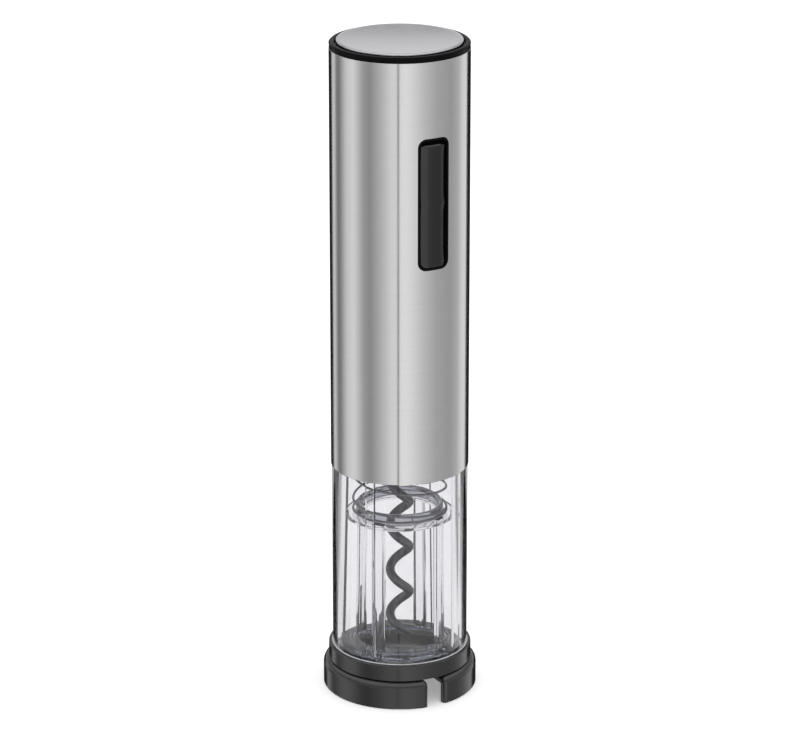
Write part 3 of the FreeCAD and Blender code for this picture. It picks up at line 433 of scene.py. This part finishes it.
def slot_materials():
    """One material for each of the record's slots, made by what the slot is."""
    return {
        "black_plastic": plastic("satin_black", (0.007, 0.007, 0.008), 0.19, 0.3, 0.02, specular=0.82),
        "gloss_black": plastic("gloss_black", (0.0025, 0.0025, 0.003), 0.10, 0.6, 0.01, specular=0.62),
        "clear_plastic": clear_plastic("clear_tube_plastic", (0.97, 0.965, 0.98), ior=TUBE_IOR)[0].material,
        "smoked_plastic": clear_plastic("smoked_plastic", (0.42, 0.43, 0.47), 0.05)[0].material,
        "sleeve_steel": sleeve_steel(),
        "disc_steel": metal("turned_disc", (0.61, 0.61, 0.635), 0.13, (0.3, 0.3, 0.3), 0.03, 0.02),
        "coated_steel": metal("coated_worm", (0.085, 0.087, 0.095), 0.40, (1.5, 1.5, 1.5), 0.10, 0.10),
        "bright_steel": metal("ground_steel", (0.62, 0.62, 0.63), 0.25, (1.0, 1.0, 6.0), 0.08, 0.08),
        "spring_steel": metal("drawn_wire", (0.17, 0.17, 0.18), 0.3, (2.0, 2.0, 2.0), 0.08, 0.05),
        "plated_steel": metal("plated_screws", (0.70, 0.70, 0.72), 0.22, (2.5, 2.5, 2.5), 0.05, 0.05),
        "housing_plastic": plastic("housing_moulding", (0.05, 0.05, 0.055), 0.5, 0.4, 0.15),
        "gear_plastic": plastic("natural_acetal", (0.82, 0.79, 0.70), 0.38, 0.5, 0.06, 0.04),
        "gear_steel": metal("sintered_steel", (0.42, 0.42, 0.43), 0.5, (4.0, 4.0, 4.0), 0.18, 0.25),
        "bronze": metal("sintered_bronze", (0.55, 0.36, 0.18), 0.45, (4.0, 4.0, 4.0), 0.15, 0.2),
        "brass": metal("machined_brass", (0.75, 0.58, 0.27), 0.25, (2.0, 2.0, 6.0), 0.06, 0.05),
        "motor_can": metal("zinc_can", (0.58, 0.59, 0.60), 0.35, (0.8, 0.8, 0.8), 0.10, 0.06),
        "ferrite": plastic("ferrite", (0.035, 0.035, 0.038), 0.6, 0.2, 0.25),
        "windings": metal("copper_windings", (0.50, 0.22, 0.10), 0.35, (0.5, 0.5, 5.0), 0.25, 0.4),
        "white_plastic": plastic("white_moulding", (0.78, 0.78, 0.75), 0.4, 0.4, 0.08, 0.03),
        "lead_insulation": plastic("lead_insulation", (0.45, 0.03, 0.025), 0.45, 0.3, 0.08),
        "board": plastic("solder_mask", (0.02, 0.12, 0.05), 0.3, 0.5, 0.06),
        "silicone": plastic("silicone", (0.10, 0.10, 0.105), 0.65, 0.4, 0.12),
        "cell_jacket": metal("cell_jacket", (0.14, 0.15, 0.17), 0.3, (0.4, 0.4, 0.4), 0.08, 0.03),
    }


# ---- pieces ----
def patch_outline(columns, rows):
    """Points round the patch of mesh that holds the sleeve's window, as (x, height from its middle)."""
    half_w, half_h = PATCH_HALF_W, PATCH_HALF_H
    outline = []
    for k in range(columns):
        outline.append((-half_w + 2 * half_w * k / columns, -half_h))
    for k in range(rows):
        outline.append((half_w, -half_h + 2 * half_h * k / rows))
    for k in range(columns):
        outline.append((half_w - 2 * half_w * k / columns, half_h))
    for k in range(rows):
        outline.append((-half_w, half_h - 2 * half_h * k / rows))
    return outline


def sleeve():
    """The steel tube with the button's window, as one closed shell of outer and inner faces."""
    half_w, half_h = PATCH_HALF_W, PATCH_HALF_H
    columns, rows, loops = 28, 72, 4
    rows_below, rows_above, back_columns = 40, 10, 168
    patch_low, patch_top = BUTTON_Z - half_h, BUTTON_Z + half_h
    outline = patch_outline(columns, rows)
    count = len(outline)
    hole = [outline_hit(p, WINDOW_W / 2, WINDOW_H / 2, WINDOW_CORNER) for p in outline]
    levels = [SLEEVE_LOW + (patch_low - SLEEVE_LOW) * k / rows_below for k in range(rows_below)]
    levels += [patch_low + 2 * half_h * k / rows for k in range(rows)]
    levels += [patch_top + (SLEEVE_TOP - patch_top) * k / rows_above for k in range(rows_above + 1)]
    tall = len(levels)
    verts, faces = [], []
    rings = {}
    for wall, radius in enumerate((BODY_R, BODY_R - SLEEVE_WALL)):
        base = len(verts)
        for step in range(loops + 1):
            share = step / loops
            for (ox, oz), (hx, hz) in zip(outline, hole):
                x = hx + (ox - hx) * share
                z = hz + (oz - hz) * share
                verts.append(on_cylinder(radius, x, BUTTON_Z + z))
        for step in range(loops):
            for k in range(count):
                n = (k + 1) % count
                a, b = base + step * count, base + (step + 1) * count
                faces.append((a + k, a + n, b + n, b + k))
        rings["hole", wall] = [base + k for k in range(count)]
        # the front strip above and below the patch, then the rest of the way round
        side = math.asin(half_w / radius)
        angles = [-math.pi / 2 + math.asin((-half_w + 2 * half_w * k / columns) / radius)
                  for k in range(columns)]
        angles += [-math.pi / 2 + side + (2 * math.pi - 2 * side) * k / back_columns
                   for k in range(back_columns)]
        grid = len(verts)
        for angle in angles:
            for z in levels:
                verts.append((radius * math.cos(angle), radius * math.sin(angle), z))
        for k in range(len(angles)):
            n = (k + 1) % len(angles)
            for j in range(tall - 1):
                if k < columns and rows_below <= j < rows_below + rows:
                    continue
                faces.append((grid + k * tall + j, grid + n * tall + j,
                              grid + n * tall + j + 1, grid + k * tall + j + 1))
        rings["low", wall] = [grid + k * tall for k in range(len(angles))]
        rings["top", wall] = [grid + k * tall + tall - 1 for k in range(len(angles))]
    for edge in ("hole", "low", "top"):
        outer, inner = rings[edge, 0], rings[edge, 1]
        for k in range(len(outer)):
            n = (k + 1) % len(outer)
            faces.append((outer[k], outer[n], inner[n], inner[k]))
    return bevel(tidy(new_object("sleeve", verts, faces)), SLEEVE_EDGE_R)


def cap_rim():
    """The black cap: a bevelled rim round the disc, and the spigot below."""
    return lathe("cap_rim", rounded([
        (0, CAP_LOW),
        (SPIGOT_R - 1.0, CAP_LOW),
        (SPIGOT_R - 1.0, SPIGOT_LOW),
        (SPIGOT_R - 0.4, SPIGOT_LOW, 0.2),
        (SPIGOT_R, SPIGOT_LOW + 0.5),
        (SPIGOT_R, CAP_LOW),
        (CAP_R, CAP_LOW, 0.12),
        (CAP_R, CAP_RIM_TOP - 0.45, 0.2),
        (CAP_R - 0.45, CAP_RIM_TOP, 0.2),
        (DISC_R + 0.75, CAP_RIM_TOP, 0.12),
        (DISC_R + 0.5, CAP_RIM_TOP - 0.3, 0.1),
        (DISC_R + 0.4, CAP_PLATE_TOP),
        (0, CAP_PLATE_TOP),
    ]), sharp_deg=28.0)


def cap_disc():
    """The shallow dished steel disc."""
    rim_r = DISC_R - DISC_LAND
    edge = DISC_EDGE_R
    edge_steps, dish_steps = 6, 24
    outline = [(0, CAP_PLATE_TOP), (DISC_R, CAP_PLATE_TOP), (DISC_R, DISC_TOP - edge)]
    for step in range(1, edge_steps + 1):
        angle = math.pi / 2 * step / edge_steps
        outline.append((DISC_R - edge + edge * math.cos(angle), DISC_TOP - edge + edge * math.sin(angle)))
    for step in range(dish_steps + 1):
        r = rim_r * (1 - step / dish_steps)
        outline.append((r, DISC_TOP - DISC_DISH * (1 - (r / rim_r) ** 2)))
    return lathe("cap_disc", outline, sharp_deg=30.0)


def round_rect(half_w, half_h, corner, across=6, up=44, corner_steps=8):
    """Points round a rectangle with round corners, the same number of them whatever its size."""
    points = []
    middle_w, middle_h = half_w - corner, half_h - corner
    places = [(middle_w, middle_h), (-middle_w, middle_h), (-middle_w, -middle_h), (middle_w, -middle_h)]
    ends = [(-middle_w, half_h), (-half_w, -middle_h), (middle_w, -half_h), (half_w, middle_h)]
    for quarter, (place, end) in enumerate(zip(places, ends)):
        for step in range(corner_steps + 1):
            angle = math.radians(90 * (quarter + step / corner_steps))
            points.append((place[0] + corner * math.cos(angle), place[1] + corner * math.sin(angle)))
        start = points[-1]
        count = across if quarter % 2 == 0 else up
        for step in range(1, count):
            share = step / count
            points.append((start[0] + (end[0] - start[0]) * share, start[1] + (end[1] - start[1]) * share))
    return points


def bezel():
    """The black frame in the sleeve's window, with rounded lips and a flange behind the sleeve."""
    def grown(size, by):
        return tuple(value + by for value in size)

    window = (WINDOW_W / 2, WINDOW_H / 2, WINDOW_CORNER)
    outer = grown(window, -BEZEL_GAP)
    inner = grown(window, -BEZEL_WALL)
    flange = (BEZEL_FLANGE_HALF_W, BEZEL_FLANGE_HALF_H, BEZEL_FLANGE_CORNER)
    flange_back_r = HOUSING_BORE_R + 0.1
    # each loop's size and the radius that it lies on, from the bore's back round the lips to the flange
    loops = [
        (inner, flange_back_r), (inner, BEZEL_FACE_R - 0.22), (grown(inner, 0.06), BEZEL_FACE_R - 0.06),
        (grown(inner, 0.2), BEZEL_FACE_R), (grown(outer, -0.2), BEZEL_FACE_R),
        (grown(outer, -0.06), BEZEL_FACE_R - 0.05), (outer, BEZEL_FACE_R - 0.2),
        (outer, HOUSING_R), (flange, HOUSING_R), (flange, flange_back_r),
    ]
    verts = []
    for size, radius in loops:
        verts += [on_cylinder(radius, x, BUTTON_Z + z) for x, z in round_rect(*size)]
    faces = closed_faces(len(loops), len(verts) // len(loops))
    return tidy(new_object("bezel", verts, faces), 40.0)


def rocker_depth(x, z):
    """How far the rocker's face lies behind its front plane: dishes, slopes and a round edge."""
    side = abs(x) - ROCKER_FLAT_HALF
    depth = x * x / (2 * ROCKER_FACE_R)
    depth += ROCKER_SIDE_SLOPE * (side + math.hypot(side, 0.12)) / 2
    from_ridge = min(abs(z) / ROCKER_RIDGE_HALF, 1.0)
    from_end = max(abs(z) - ROCKER_DISH_END, 0.0) / ROCKER_DISH_FADE
    depth += ROCKER_DISH * (1 - (1 - from_ridge) ** 2) * (1 - from_end ** 2)
    past = z - ROCKER_CHAMFER_Z
    depth += ROCKER_CHAMFER_SLOPE * (past + math.hypot(past, 0.1)) / 2
    inside = -rounded_box_distance(x, z, ROCKER_W / 2, ROCKER_H / 2, ROCKER_CORNER)
    near = max(ROCKER_EDGE_R - inside, 0.0)
    return depth + ROCKER_EDGE_R - math.sqrt(max(ROCKER_EDGE_R ** 2 - near ** 2, 0.0))


def rocker():
    """The long rocker with two finger dishes that meet in a soft ridge, and its axle."""
    columns, rows = 44, 200
    straight = ROCKER_H / 2 - ROCKER_CORNER
    verts = []
    for j in range(rows + 1):
        z = ROCKER_H / 2 * math.sin(math.pi / 2 * (2 * j / rows - 1))
        past = min(max(abs(z) - straight, 0.0), ROCKER_CORNER)
        half_w = ROCKER_W / 2 - ROCKER_CORNER + math.sqrt(ROCKER_CORNER ** 2 - past ** 2)
        for k in range(columns + 1):
            x = half_w * math.sin(math.pi / 2 * (2 * k / columns - 1))
            verts.append((x, -ROCKER_FACE_R + rocker_depth(x, z), BUTTON_Z + z))
    front = len(verts)
    verts += [(x, ROCKER_BACK_Y, z) for x, _, z in verts]
    wide = columns + 1
    faces = []
    for j in range(rows):
        for k in range(columns):
            a = j * wide + k
            faces.append((a, a + 1, a + 1 + wide, a + wide))
            faces.append((front + a, front + a + wide, front + a + 1 + wide, front + a + 1))
    rim = list(range(wide))
    rim += [j * wide + columns for j in range(1, rows + 1)]
    rim += [rows * wide + k for k in range(columns - 1, -1, -1)]
    rim += [j * wide for j in range(rows - 1, 0, -1)]
    for index, here in enumerate(rim):
        after = rim[(index + 1) % len(rim)]
        faces.append((here, front + here, front + after, after))
    body = tidy(new_object("rocker", verts, faces), 30.0)
    across = (Vector((0, 1, 0)), Vector((0, 0, 1)))
    half_axle = ROCKER_W / 2 + AXLE_REACH
    ends = [Vector((x, PIVOT_Y, BUTTON_Z)) for x in (-half_axle, half_axle)]
    axle = swept_tube("axle", ends, [across] * 2, [AXLE_R] * 2, 24)
    return union("rocker", [body, axle])


def tube():
    """The clear tube with its inner ribs and the lip under the cork guide."""
    def column(angle, on_rib, rib_side=0):
        """The wall's section at an angle. rib_side of -1 or 1 keeps to the flat side of the rib there."""
        bore_r = RIB_INNER_R if on_rib else TUBE_BORE_R
        points = [
            (LIP_R, TUBE_LOW),
            (TUBE_R - 0.4, TUBE_LOW),
            (TUBE_R - 0.12, TUBE_LOW + 0.12),
            (TUBE_R, TUBE_LOW + 0.4),
            (TUBE_R, SLEEVE_LOW - 0.25),
            (TUBE_R - 0.1, SLEEVE_LOW - 0.1),
            (TUBE_NECK_R, SLEEVE_LOW - 0.1),
            (TUBE_NECK_R, TUBE_TOP),
            (TUBE_BORE_R, TUBE_TOP),
            (TUBE_BORE_R, RIB_TOP),
            (bore_r, RIB_TOP),
            (bore_r, LIP_TOP),
            (RIB_INNER_R if on_rib else LIP_R, LIP_TOP),
        ]
        out = []
        for r, z in points:
            turn = angle + rib_side * math.asin(RIB_HALF_W / r)
            out.append((r * math.cos(turn), r * math.sin(turn), z))
        return out

    rib_steps, wall_steps = 6, 60
    edge = math.asin(RIB_HALF_W / RIB_INNER_R)
    span = 2 * math.pi / RIB_COUNT - 2 * edge
    columns = []
    for k in range(RIB_COUNT):
        middle = math.radians(RIB_TURN + 360 / RIB_COUNT * k)
        columns.append(column(middle, False, -1))
        columns.append(column(middle, True, -1))
        for step in range(1, rib_steps):
            columns.append(column(middle - edge + 2 * edge * step / rib_steps, True))
        columns.append(column(middle, True, 1))
        columns.append(column(middle, False, 1))
        for step in range(1, wall_steps):
            columns.append(column(middle + edge + span * step / wall_steps, False))
    verts = [point for one in columns for point in one]
    faces = closed_faces(len(columns), len(columns[0]))
    return tidy(new_object("tube", verts, faces), 30.0)


def mark_outer_wall(piece):
    """The tube's outer wall takes its own material."""
    piece.data.materials.append(tube_plastic())
    for face in piece.data.polygons:
        if math.hypot(face.center.x, face.center.y) > (TUBE_R - 0.06) * MM:
            face.material_index = 1


def tube_bead():
    """A thin bead at the tube's foot that rests on the base's collar; its light grey colour is a painted
    highlight line.
    """
    return lathe("tube_bead", rounded([
        (TUBE_R - 0.1, COLLAR_TOP + 0.03),
        (TUBE_R + 0.36, COLLAR_TOP + 0.03, 0.05),
        (TUBE_R + 0.30, COLLAR_TOP + 0.26, 0.07),
        (TUBE_R - 0.1, COLLAR_TOP + 0.26),
    ], 4), sharp_deg=40.0)


def union(name, shells):
    """One closed solid from overlapping ones."""
    first = shells[0]
    for other in shells[1:]:
        modifier = first.modifiers.new("join", "BOOLEAN")
        modifier.operation = "UNION"
        modifier.solver = "EXACT"
        modifier.object = other
        bpy.context.view_layer.update()
        depsgraph = bpy.context.evaluated_depsgraph_get()
        joined = bpy.data.meshes.new_from_object(first.evaluated_get(depsgraph))
        first.modifiers.clear()
        first.data = joined
        bpy.data.objects.remove(other)
    first.name = name
    return tidy(first, 30.0, 1e-7)


def bent_bar(name, inner_r, outer_r, half_w, low, high, turn_deg, offset=0.0, round_mm=0.5):
    """A bar between two radii, half_w each side of offset, with rounded long edges."""
    turn = math.radians(turn_deg)
    across = [(-half_w + round_mm, inner_r), (half_w - round_mm, inner_r), (half_w, inner_r + round_mm),
              (half_w, outer_r - round_mm), (half_w - round_mm, outer_r), (-half_w + round_mm, outer_r),
              (-half_w, outer_r - round_mm), (-half_w, inner_r + round_mm)]
    verts, faces = [], []
    c, s = math.cos(turn), math.sin(turn)
    for z in (low, high):
        for u, r in across:
            x = math.sqrt(max(r * r - u * u, 0))
            y = u + offset
            verts.append((x * c - y * s, x * s + y * c, z))
    count = len(across)
    for k in range(count):
        n = (k + 1) % count
        faces.append((k, n, count + n, count + k))
    faces.append(tuple(reversed(range(count))))
    faces.append(tuple(range(count, 2 * count)))
    return tidy(new_object(name, verts, faces), 30.0)


def guide():
    """The clear cork guide: funnel ring, four legs with keys beside the ribs, stepped flange."""
    outline = [(18.3, GUIDE_LOW, 0.15), (GUIDE_RING_R, GUIDE_LOW, 0.4)]
    ridge = (GUIDE_RING_R - GUIDE_BORE_R) / GUIDE_RIDGES
    valley = GUIDE_RING_TOP - RIDGE_H
    for k in range(GUIDE_RIDGES):
        r = GUIDE_RING_R - ridge * k
        outline += [(r, valley, 0.1), (r - 0.15 * ridge, GUIDE_RING_TOP, 0.12),
                    (r - 0.7 * ridge, GUIDE_RING_TOP, 0.12), (r - 0.85 * ridge, valley, 0.1)]
    outline += [(GUIDE_BORE_R, valley, 0.05), (GUIDE_BORE_R, GUIDE_LOW + 2.4, 0.15)]
    funnel = lathe("guide_funnel", rounded(outline, 3), INNER_SEGMENTS, 30.0)
    flange = lathe("guide_flange", rounded([
        (GUIDE_BORE_R, FLANGE_LOW, 0.2),
        (FLANGE_R - 1.3, FLANGE_LOW, 0.2),
        (FLANGE_R, FLANGE_LOW + 0.7, 0.3),
        (FLANGE_R, FLANGE_TOP, 0.35),
        (GUIDE_BORE_R, FLANGE_TOP, 0.1),
    ], 4), INNER_SEGMENTS, 30.0)
    shells = [funnel, flange]
    overlap = 0.9
    for k in range(RIB_COUNT):
        turn = RIB_TURN + 360 / RIB_COUNT * k
        shells.append(bent_bar("leg", LEG_INNER_R, LEG_OUTER_R, LEG_HALF_W, GUIDE_RING_TOP - overlap,
                               FLANGE_LOW + overlap, turn))
        for side in (-1, 1):
            shells.append(bent_bar("key", KEY_INNER_R, KEY_OUTER_R, KEY_HALF_W, GUIDE_LOW + 0.3,
                                   GUIDE_RING_TOP - overlap, turn, side * KEY_OFFSET, 0.2))
    return union("guide", shells)


def guide_ring():
    """The smoked ring on the guide's flange."""
    return lathe("guide_ring", rounded([
        (COLLAR_RING_BORE_R, FLANGE_TOP, 0.1),
        (COLLAR_RING_R, FLANGE_TOP, 0.1),
        (COLLAR_RING_TOP_R, COLLAR_RING_TOP, 0.4),
        (COLLAR_RING_TOP_R - 0.7, COLLAR_RING_TOP, 0.15),
        (COLLAR_RING_TOP_R - 0.85, COLLAR_RING_TOP - 0.4, 0.15),
        (COLLAR_RING_BORE_R + 0.6, COLLAR_RING_TOP - 0.4, 0.15),
        (COLLAR_RING_BORE_R, COLLAR_RING_TOP - 1.0, 0.3),
    ], 4), INNER_SEGMENTS, 30.0)


def guide_coil():
    """The guide's left-handed spring, open in the middle and closed for a turn at each end."""
    low = FLANGE_TOP + COIL_WIRE_R + COIL_END_GAP
    high = COIL_TOP - COIL_WIRE_R - COIL_END_GAP
    closed_rise = COIL_CLOSED_TURNS * COIL_CLOSED_PITCH
    turns = COIL_TURNS + 2 * COIL_CLOSED_TURNS
    steps = 640
    centres, frames = [], []
    for index in range(steps + 1):
        turn = turns * index / steps
        share = min(max((turn - COIL_CLOSED_TURNS) / COIL_TURNS, 0.0), 1.0)
        eased = share - math.sin(4 * math.pi * share) / (4 * math.pi) * 0.25
        closed = min(turn, COIL_CLOSED_TURNS) + max(turn - COIL_CLOSED_TURNS - COIL_TURNS, 0.0)
        z = low + closed * COIL_CLOSED_PITCH + eased * (high - low - 2 * closed_rise)
        angle = COIL_START - 2 * math.pi * turn
        outward = Vector((math.cos(angle), math.sin(angle), 0))
        centres.append(outward * COIL_R + Vector((0, 0, z)))
        frames.append((outward, Vector((0, 0, 1))))
    return swept_tube("guide_coil", centres, frames, [COIL_WIRE_R] * len(centres), 12)


def jaw_coil(name, side):
    """A jaw's return spring, from the cap's lug out to the jaw's wall; side is +1 or -1 along X."""
    low = JAW_COIL_IN + JAW_COIL_WIRE_R
    pitch = (JAW_COIL_OUT - JAW_COIL_WIRE_R - low) / JAW_COIL_TURNS
    centres, frames = helix_frames(JAW_COIL_R, pitch, low, 0.0, JAW_COIL_TURNS, 1, 50 * JAW_COIL_TURNS)

    def laid(v):
        return Vector((side * v.z, v.y, v.x))

    centres = [laid(centre) + Vector((0, 0, JAW_COIL_Z)) for centre in centres]
    frames = [(laid(outward), laid(up)) for outward, up in frames]
    return swept_tube(name, centres, frames, [JAW_COIL_WIRE_R] * len(centres), 12)


def worm_helix():
    """The left-handed worm: an open helix that narrows to its point, with a root in the hub."""
    radius = WORM_R - WORM_WIRE_R
    low = WORM_TIP + 0.3
    turns = (WORM_ROOT_LOW + 2.0 - low) / WORM_PITCH
    steps = 520
    centres, frames = helix_frames(radius, WORM_PITCH, low, 0.0, turns, -1, steps)
    radii = []
    for index in range(steps + 1):
        share = min(turns * index / steps / WORM_TAPER_TURNS, 1.0)
        radii.append(WORM_POINT_R + (WORM_WIRE_R - WORM_POINT_R) * math.sin(share * math.pi / 2) ** 0.9)
    helix = swept_tube("worm_helix", centres, frames, radii, 24)
    root = lathe("worm_root", rounded([
        (0, WORM_ROOT_LOW),
        (WORM_ROOT_R, WORM_ROOT_LOW, 0.6),
        (WORM_ROOT_R, WORM_ROOT_TOP),
        (0, WORM_ROOT_TOP),
    ]), 64, 30.0)
    return union("worm_helix", [helix, root])


# ---- assembly ----
def dress(piece, body, slot, materials, *nodes):
    """Rides the piece on its body, stands it for its CAD nodes and gives it its slot's material."""
    piece.data.materials.clear()
    piece.data.materials.append(materials[slot])
    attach(piece, body)
    if nodes:
        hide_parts(*nodes)
    return piece


MATERIALS = slot_materials()
for part in frame["record"]["subparts"]:
    node = NODES[part["node"]]
    node.data.materials.clear()
    node.data.materials.append(MATERIALS[part["material_slot"]])
    node.data.shade_smooth()
    node.data.set_sharp_from_angle(angle=math.radians(30))

dress(sleeve(), "handle", "sleeve_steel", MATERIALS, "steel_sleeve")
mark_outer_wall(dress(tube(), "handle", "clear_plastic", MATERIALS, "clear_tube"))
bead = dress(tube_bead(), "handle", "clear_plastic", MATERIALS)
# the bead's light grey colour is a painted highlight line along the collar's top edge
bead.data.materials[0] = plastic("painted_highlight_bead", (0.74, 0.75, 0.78), 0.35, 0.3, 0.05)
frame_piece = dress(bezel(), "handle", "gloss_black", MATERIALS, "button_bezel")
frame_piece.data.materials[0] = deep_black("bezel_black")
dress(rocker(), "button", "gloss_black", MATERIALS, "rocker_button")
rim = dress(cap_rim(), "battery_cap", "black_plastic", MATERIALS, "cap_base")
rim.data.materials[0] = deep_black("cap_black")
dress(cap_disc(), "battery_cap", "disc_steel", MATERIALS, "top_disc")
guide_piece = dress(guide(), "cork_guide", "clear_plastic", MATERIALS, "cork_guide_frame")
guide_piece.data.materials[0] = guide_plastic_painted_shade()
dress(guide_ring(), "cork_guide", "smoked_plastic", MATERIALS, "cork_guide_collar")
spring = dress(guide_coil(), "handle", "spring_steel", MATERIALS, "guide_spring")
dress(worm_helix(), "worm_drive", "coated_steel", MATERIALS, "worm")
for hand, side in (("right", 1), ("left", -1)):
    jaw_spring = dress(jaw_coil("jaw_coil_" + hand, side), "jaw_%s_body" % hand, "spring_steel", MATERIALS,
                       "jaw_spring_" + hand)
    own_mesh(jaw_spring)


# ---- stage ----
def stops_around(levels):
    """Stops at degrees from -180 to 180, as positions from 0 to 1."""
    return [((degrees + 180.0) / 360.0, level) for degrees, level in levels]


def grey_ramp(nodes, links, source, stops):
    """A colour ramp through (position, grey level) stops, read at the source's value."""
    made = nodes.new("ShaderNodeValToRGB")
    links.new(source, made.inputs["Fac"])
    elements = made.color_ramp.elements
    while len(elements) > 1:
        elements.remove(elements[0])
    for index, (spot, level) in enumerate(stops):
        stop = elements[0] if index == 0 else elements.new(spot)
        stop.position = spot
        stop.color = (level, level, level, 1.0)
    return made


def studio_world():
    """A light tent, fixed in the room. Reflections show vertical panels of different brightness under a
    ceiling. Rays through the clear parts show a pale surround with a dark flag at each side. The
    camera itself sees plain white, and matt surfaces get an even light."""
    world = bpy.data.worlds.new("studio")
    bpy.context.scene.world = world
    world.use_nodes = True
    nodes, links = world.node_tree.nodes, world.node_tree.links
    nodes.clear()

    def math_node(kind, first, second):
        made = nodes.new("ShaderNodeMath")
        made.operation = kind
        for index, value in enumerate((first, second)):
            if isinstance(value, (int, float)):
                made.inputs[index].default_value = value
            else:
                links.new(value, made.inputs[index])
        return made.outputs[0]

    where = nodes.new("ShaderNodeTexCoord")
    turn = nodes.new("ShaderNodeVectorRotate")
    turn.rotation_type = "Z_AXIS"
    turn.inputs["Angle"].default_value = math.radians(PANEL_TURN)
    links.new(where.outputs["Generated"], turn.inputs["Vector"])
    parts = nodes.new("ShaderNodeSeparateXYZ")
    links.new(turn.outputs["Vector"], parts.inputs["Vector"])
    angle = math_node("ARCTAN2", parts.outputs["Y"], parts.outputs["X"])
    share = math_node("ADD", math_node("DIVIDE", angle, 2 * math.pi), 0.5)
    panels = grey_ramp(nodes, links, share, stops_around(PANELS))
    flags = grey_ramp(nodes, links, share, stops_around(FLAGS))
    ceiling = grey_ramp(nodes, links, parts.outputs["Z"], CEILING)
    above = nodes.new("ShaderNodeMapRange")
    above.interpolation_type = "SMOOTHSTEP"
    above.inputs["From Min"].default_value = PANEL_TOP
    above.inputs["From Max"].default_value = CEILING_LOW
    links.new(parts.outputs["Z"], above.inputs["Value"])
    tent = mix_colours(nodes, links, above.outputs["Result"], panels.outputs["Color"],
                       ceiling.outputs["Color"])
    path = nodes.new("ShaderNodeLightPath")
    through = mix_colours(nodes, links, path.outputs["Is Transmission Ray"], tent, flags.outputs["Color"])
    plain = math_node("MAXIMUM", path.outputs["Is Camera Ray"], path.outputs["Is Diffuse Ray"])
    light = nodes.new("ShaderNodeBackground")
    links.new(mix_colours(nodes, links, plain, through, (1.0, 1.0, 1.0)), light.inputs["Color"])
    out = nodes.new("ShaderNodeOutputWorld")
    links.new(light.outputs["Background"], out.inputs["Surface"])
    world.cycles.sampling_method = "NONE"


# the camera's angles in degrees, its lens in millimetres, and the rest in metres
CAMERA_TURN = -29.0
CAMERA_RISE = 19.0
CAMERA_REACH = 1.30
CAMERA_LENS = 169.0
CAMERA_TARGET = (0.0001, 0.0, 0.1182)
# turns the room's angles so that 0 degrees is the camera's side and they grow towards its right
PANEL_TURN = 90.0 - CAMERA_TURN
# the sine of the height where the panels start to fade, and where only the ceiling is left
PANEL_TOP, CEILING_LOW = 0.02, 0.14
# the ceiling's brightness by the sine of the height above the horizon
CEILING = [
    (0.0, 0.86), (0.16, 0.84), (0.24, 0.76), (0.28, 0.50), (0.34, 0.44), (0.48, 0.50), (0.62, 0.9),
    (0.9, 1.2),
]
# the surround seen through the clear parts, by degrees round the room
FLAGS = [
    (-180, 0.96), (-164, 0.96), (-161, 0.0), (-136, 0.0), (-133, 0.93), (0, 0.90),
    (133, 0.93), (136, 0.0), (161, 0.0), (164, 0.96), (180, 0.96),
]
# the panels' brightness by degrees round the room
PANELS = [
    (-180, 1.00), (-176, 1.00), (-174, 0.01), (-145, 0.01), (-143, 0.72), (-134, 0.70), (-124, 0.20),
    (-116, 0.22), (-98, 0.74), (-82, 0.88), (-62, 0.40), (-50, 0.31), (-30, 0.58), (-14, 0.84),
    (-4.0, 0.88), (-3.4, 0.0), (-1.7, 0.0), (-1.1, 0.94), (10, 0.98), (20, 0.90), (40, 0.66),
    (62, 0.48), (92, 0.40), (110, 0.52), (124, 0.82), (140, 0.90), (142, 0.01), (174, 0.01),
    (176, 1.00), (180, 1.00),
]


def camera():
    """The camera at its viewing angle, aimed at the object's middle."""
    data = bpy.data.cameras.new("camera")
    data.lens = CAMERA_LENS
    data.sensor_width = 36.0
    data.clip_end = 20.0
    made = bpy.data.objects.new("camera", data)
    bpy.context.scene.collection.objects.link(made)
    turn, rise = math.radians(CAMERA_TURN), math.radians(CAMERA_RISE)
    back = Vector((math.sin(turn) * math.cos(rise), -math.cos(turn) * math.cos(rise), math.sin(rise)))
    made.location = Vector(CAMERA_TARGET) + back * CAMERA_REACH
    made.rotation_euler = (-back).to_track_quat("-Z", "Y").to_euler()
    bpy.context.scene.camera = made


def floor():
    """A pale floor that the steel and the clear parts don't mirror."""
    reach, drop = 3000.0, -0.05
    corners = [(-reach, -reach, drop), (reach, -reach, drop), (reach, reach, drop), (-reach, reach, drop)]
    piece = new_object("floor", corners, [(0, 1, 2, 3)])
    made = Surface("floor_white", (0.93, 0.93, 0.93), 0.9)
    grain = made.spread(made.noise((0.05, 0.05, 0.05), 2.0), 0.0, 1.0)
    made.link(made.blend(grain, (0.96, 0.96, 0.96), (0.985, 0.985, 0.985)), "Base Color")
    made.set("Specular IOR Level", 0.0)
    made.set("Emission Color", (1.0, 1.0, 1.0, 1.0))
    made.set("Emission Strength", 0.3)
    piece.data.materials.append(made.material)
    piece.visible_glossy = False
    piece.visible_transmission = False


studio_world()
camera()
floor()
bpy.context.scene.view_settings.view_transform = "Standard"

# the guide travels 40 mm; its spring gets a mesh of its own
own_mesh(spring)
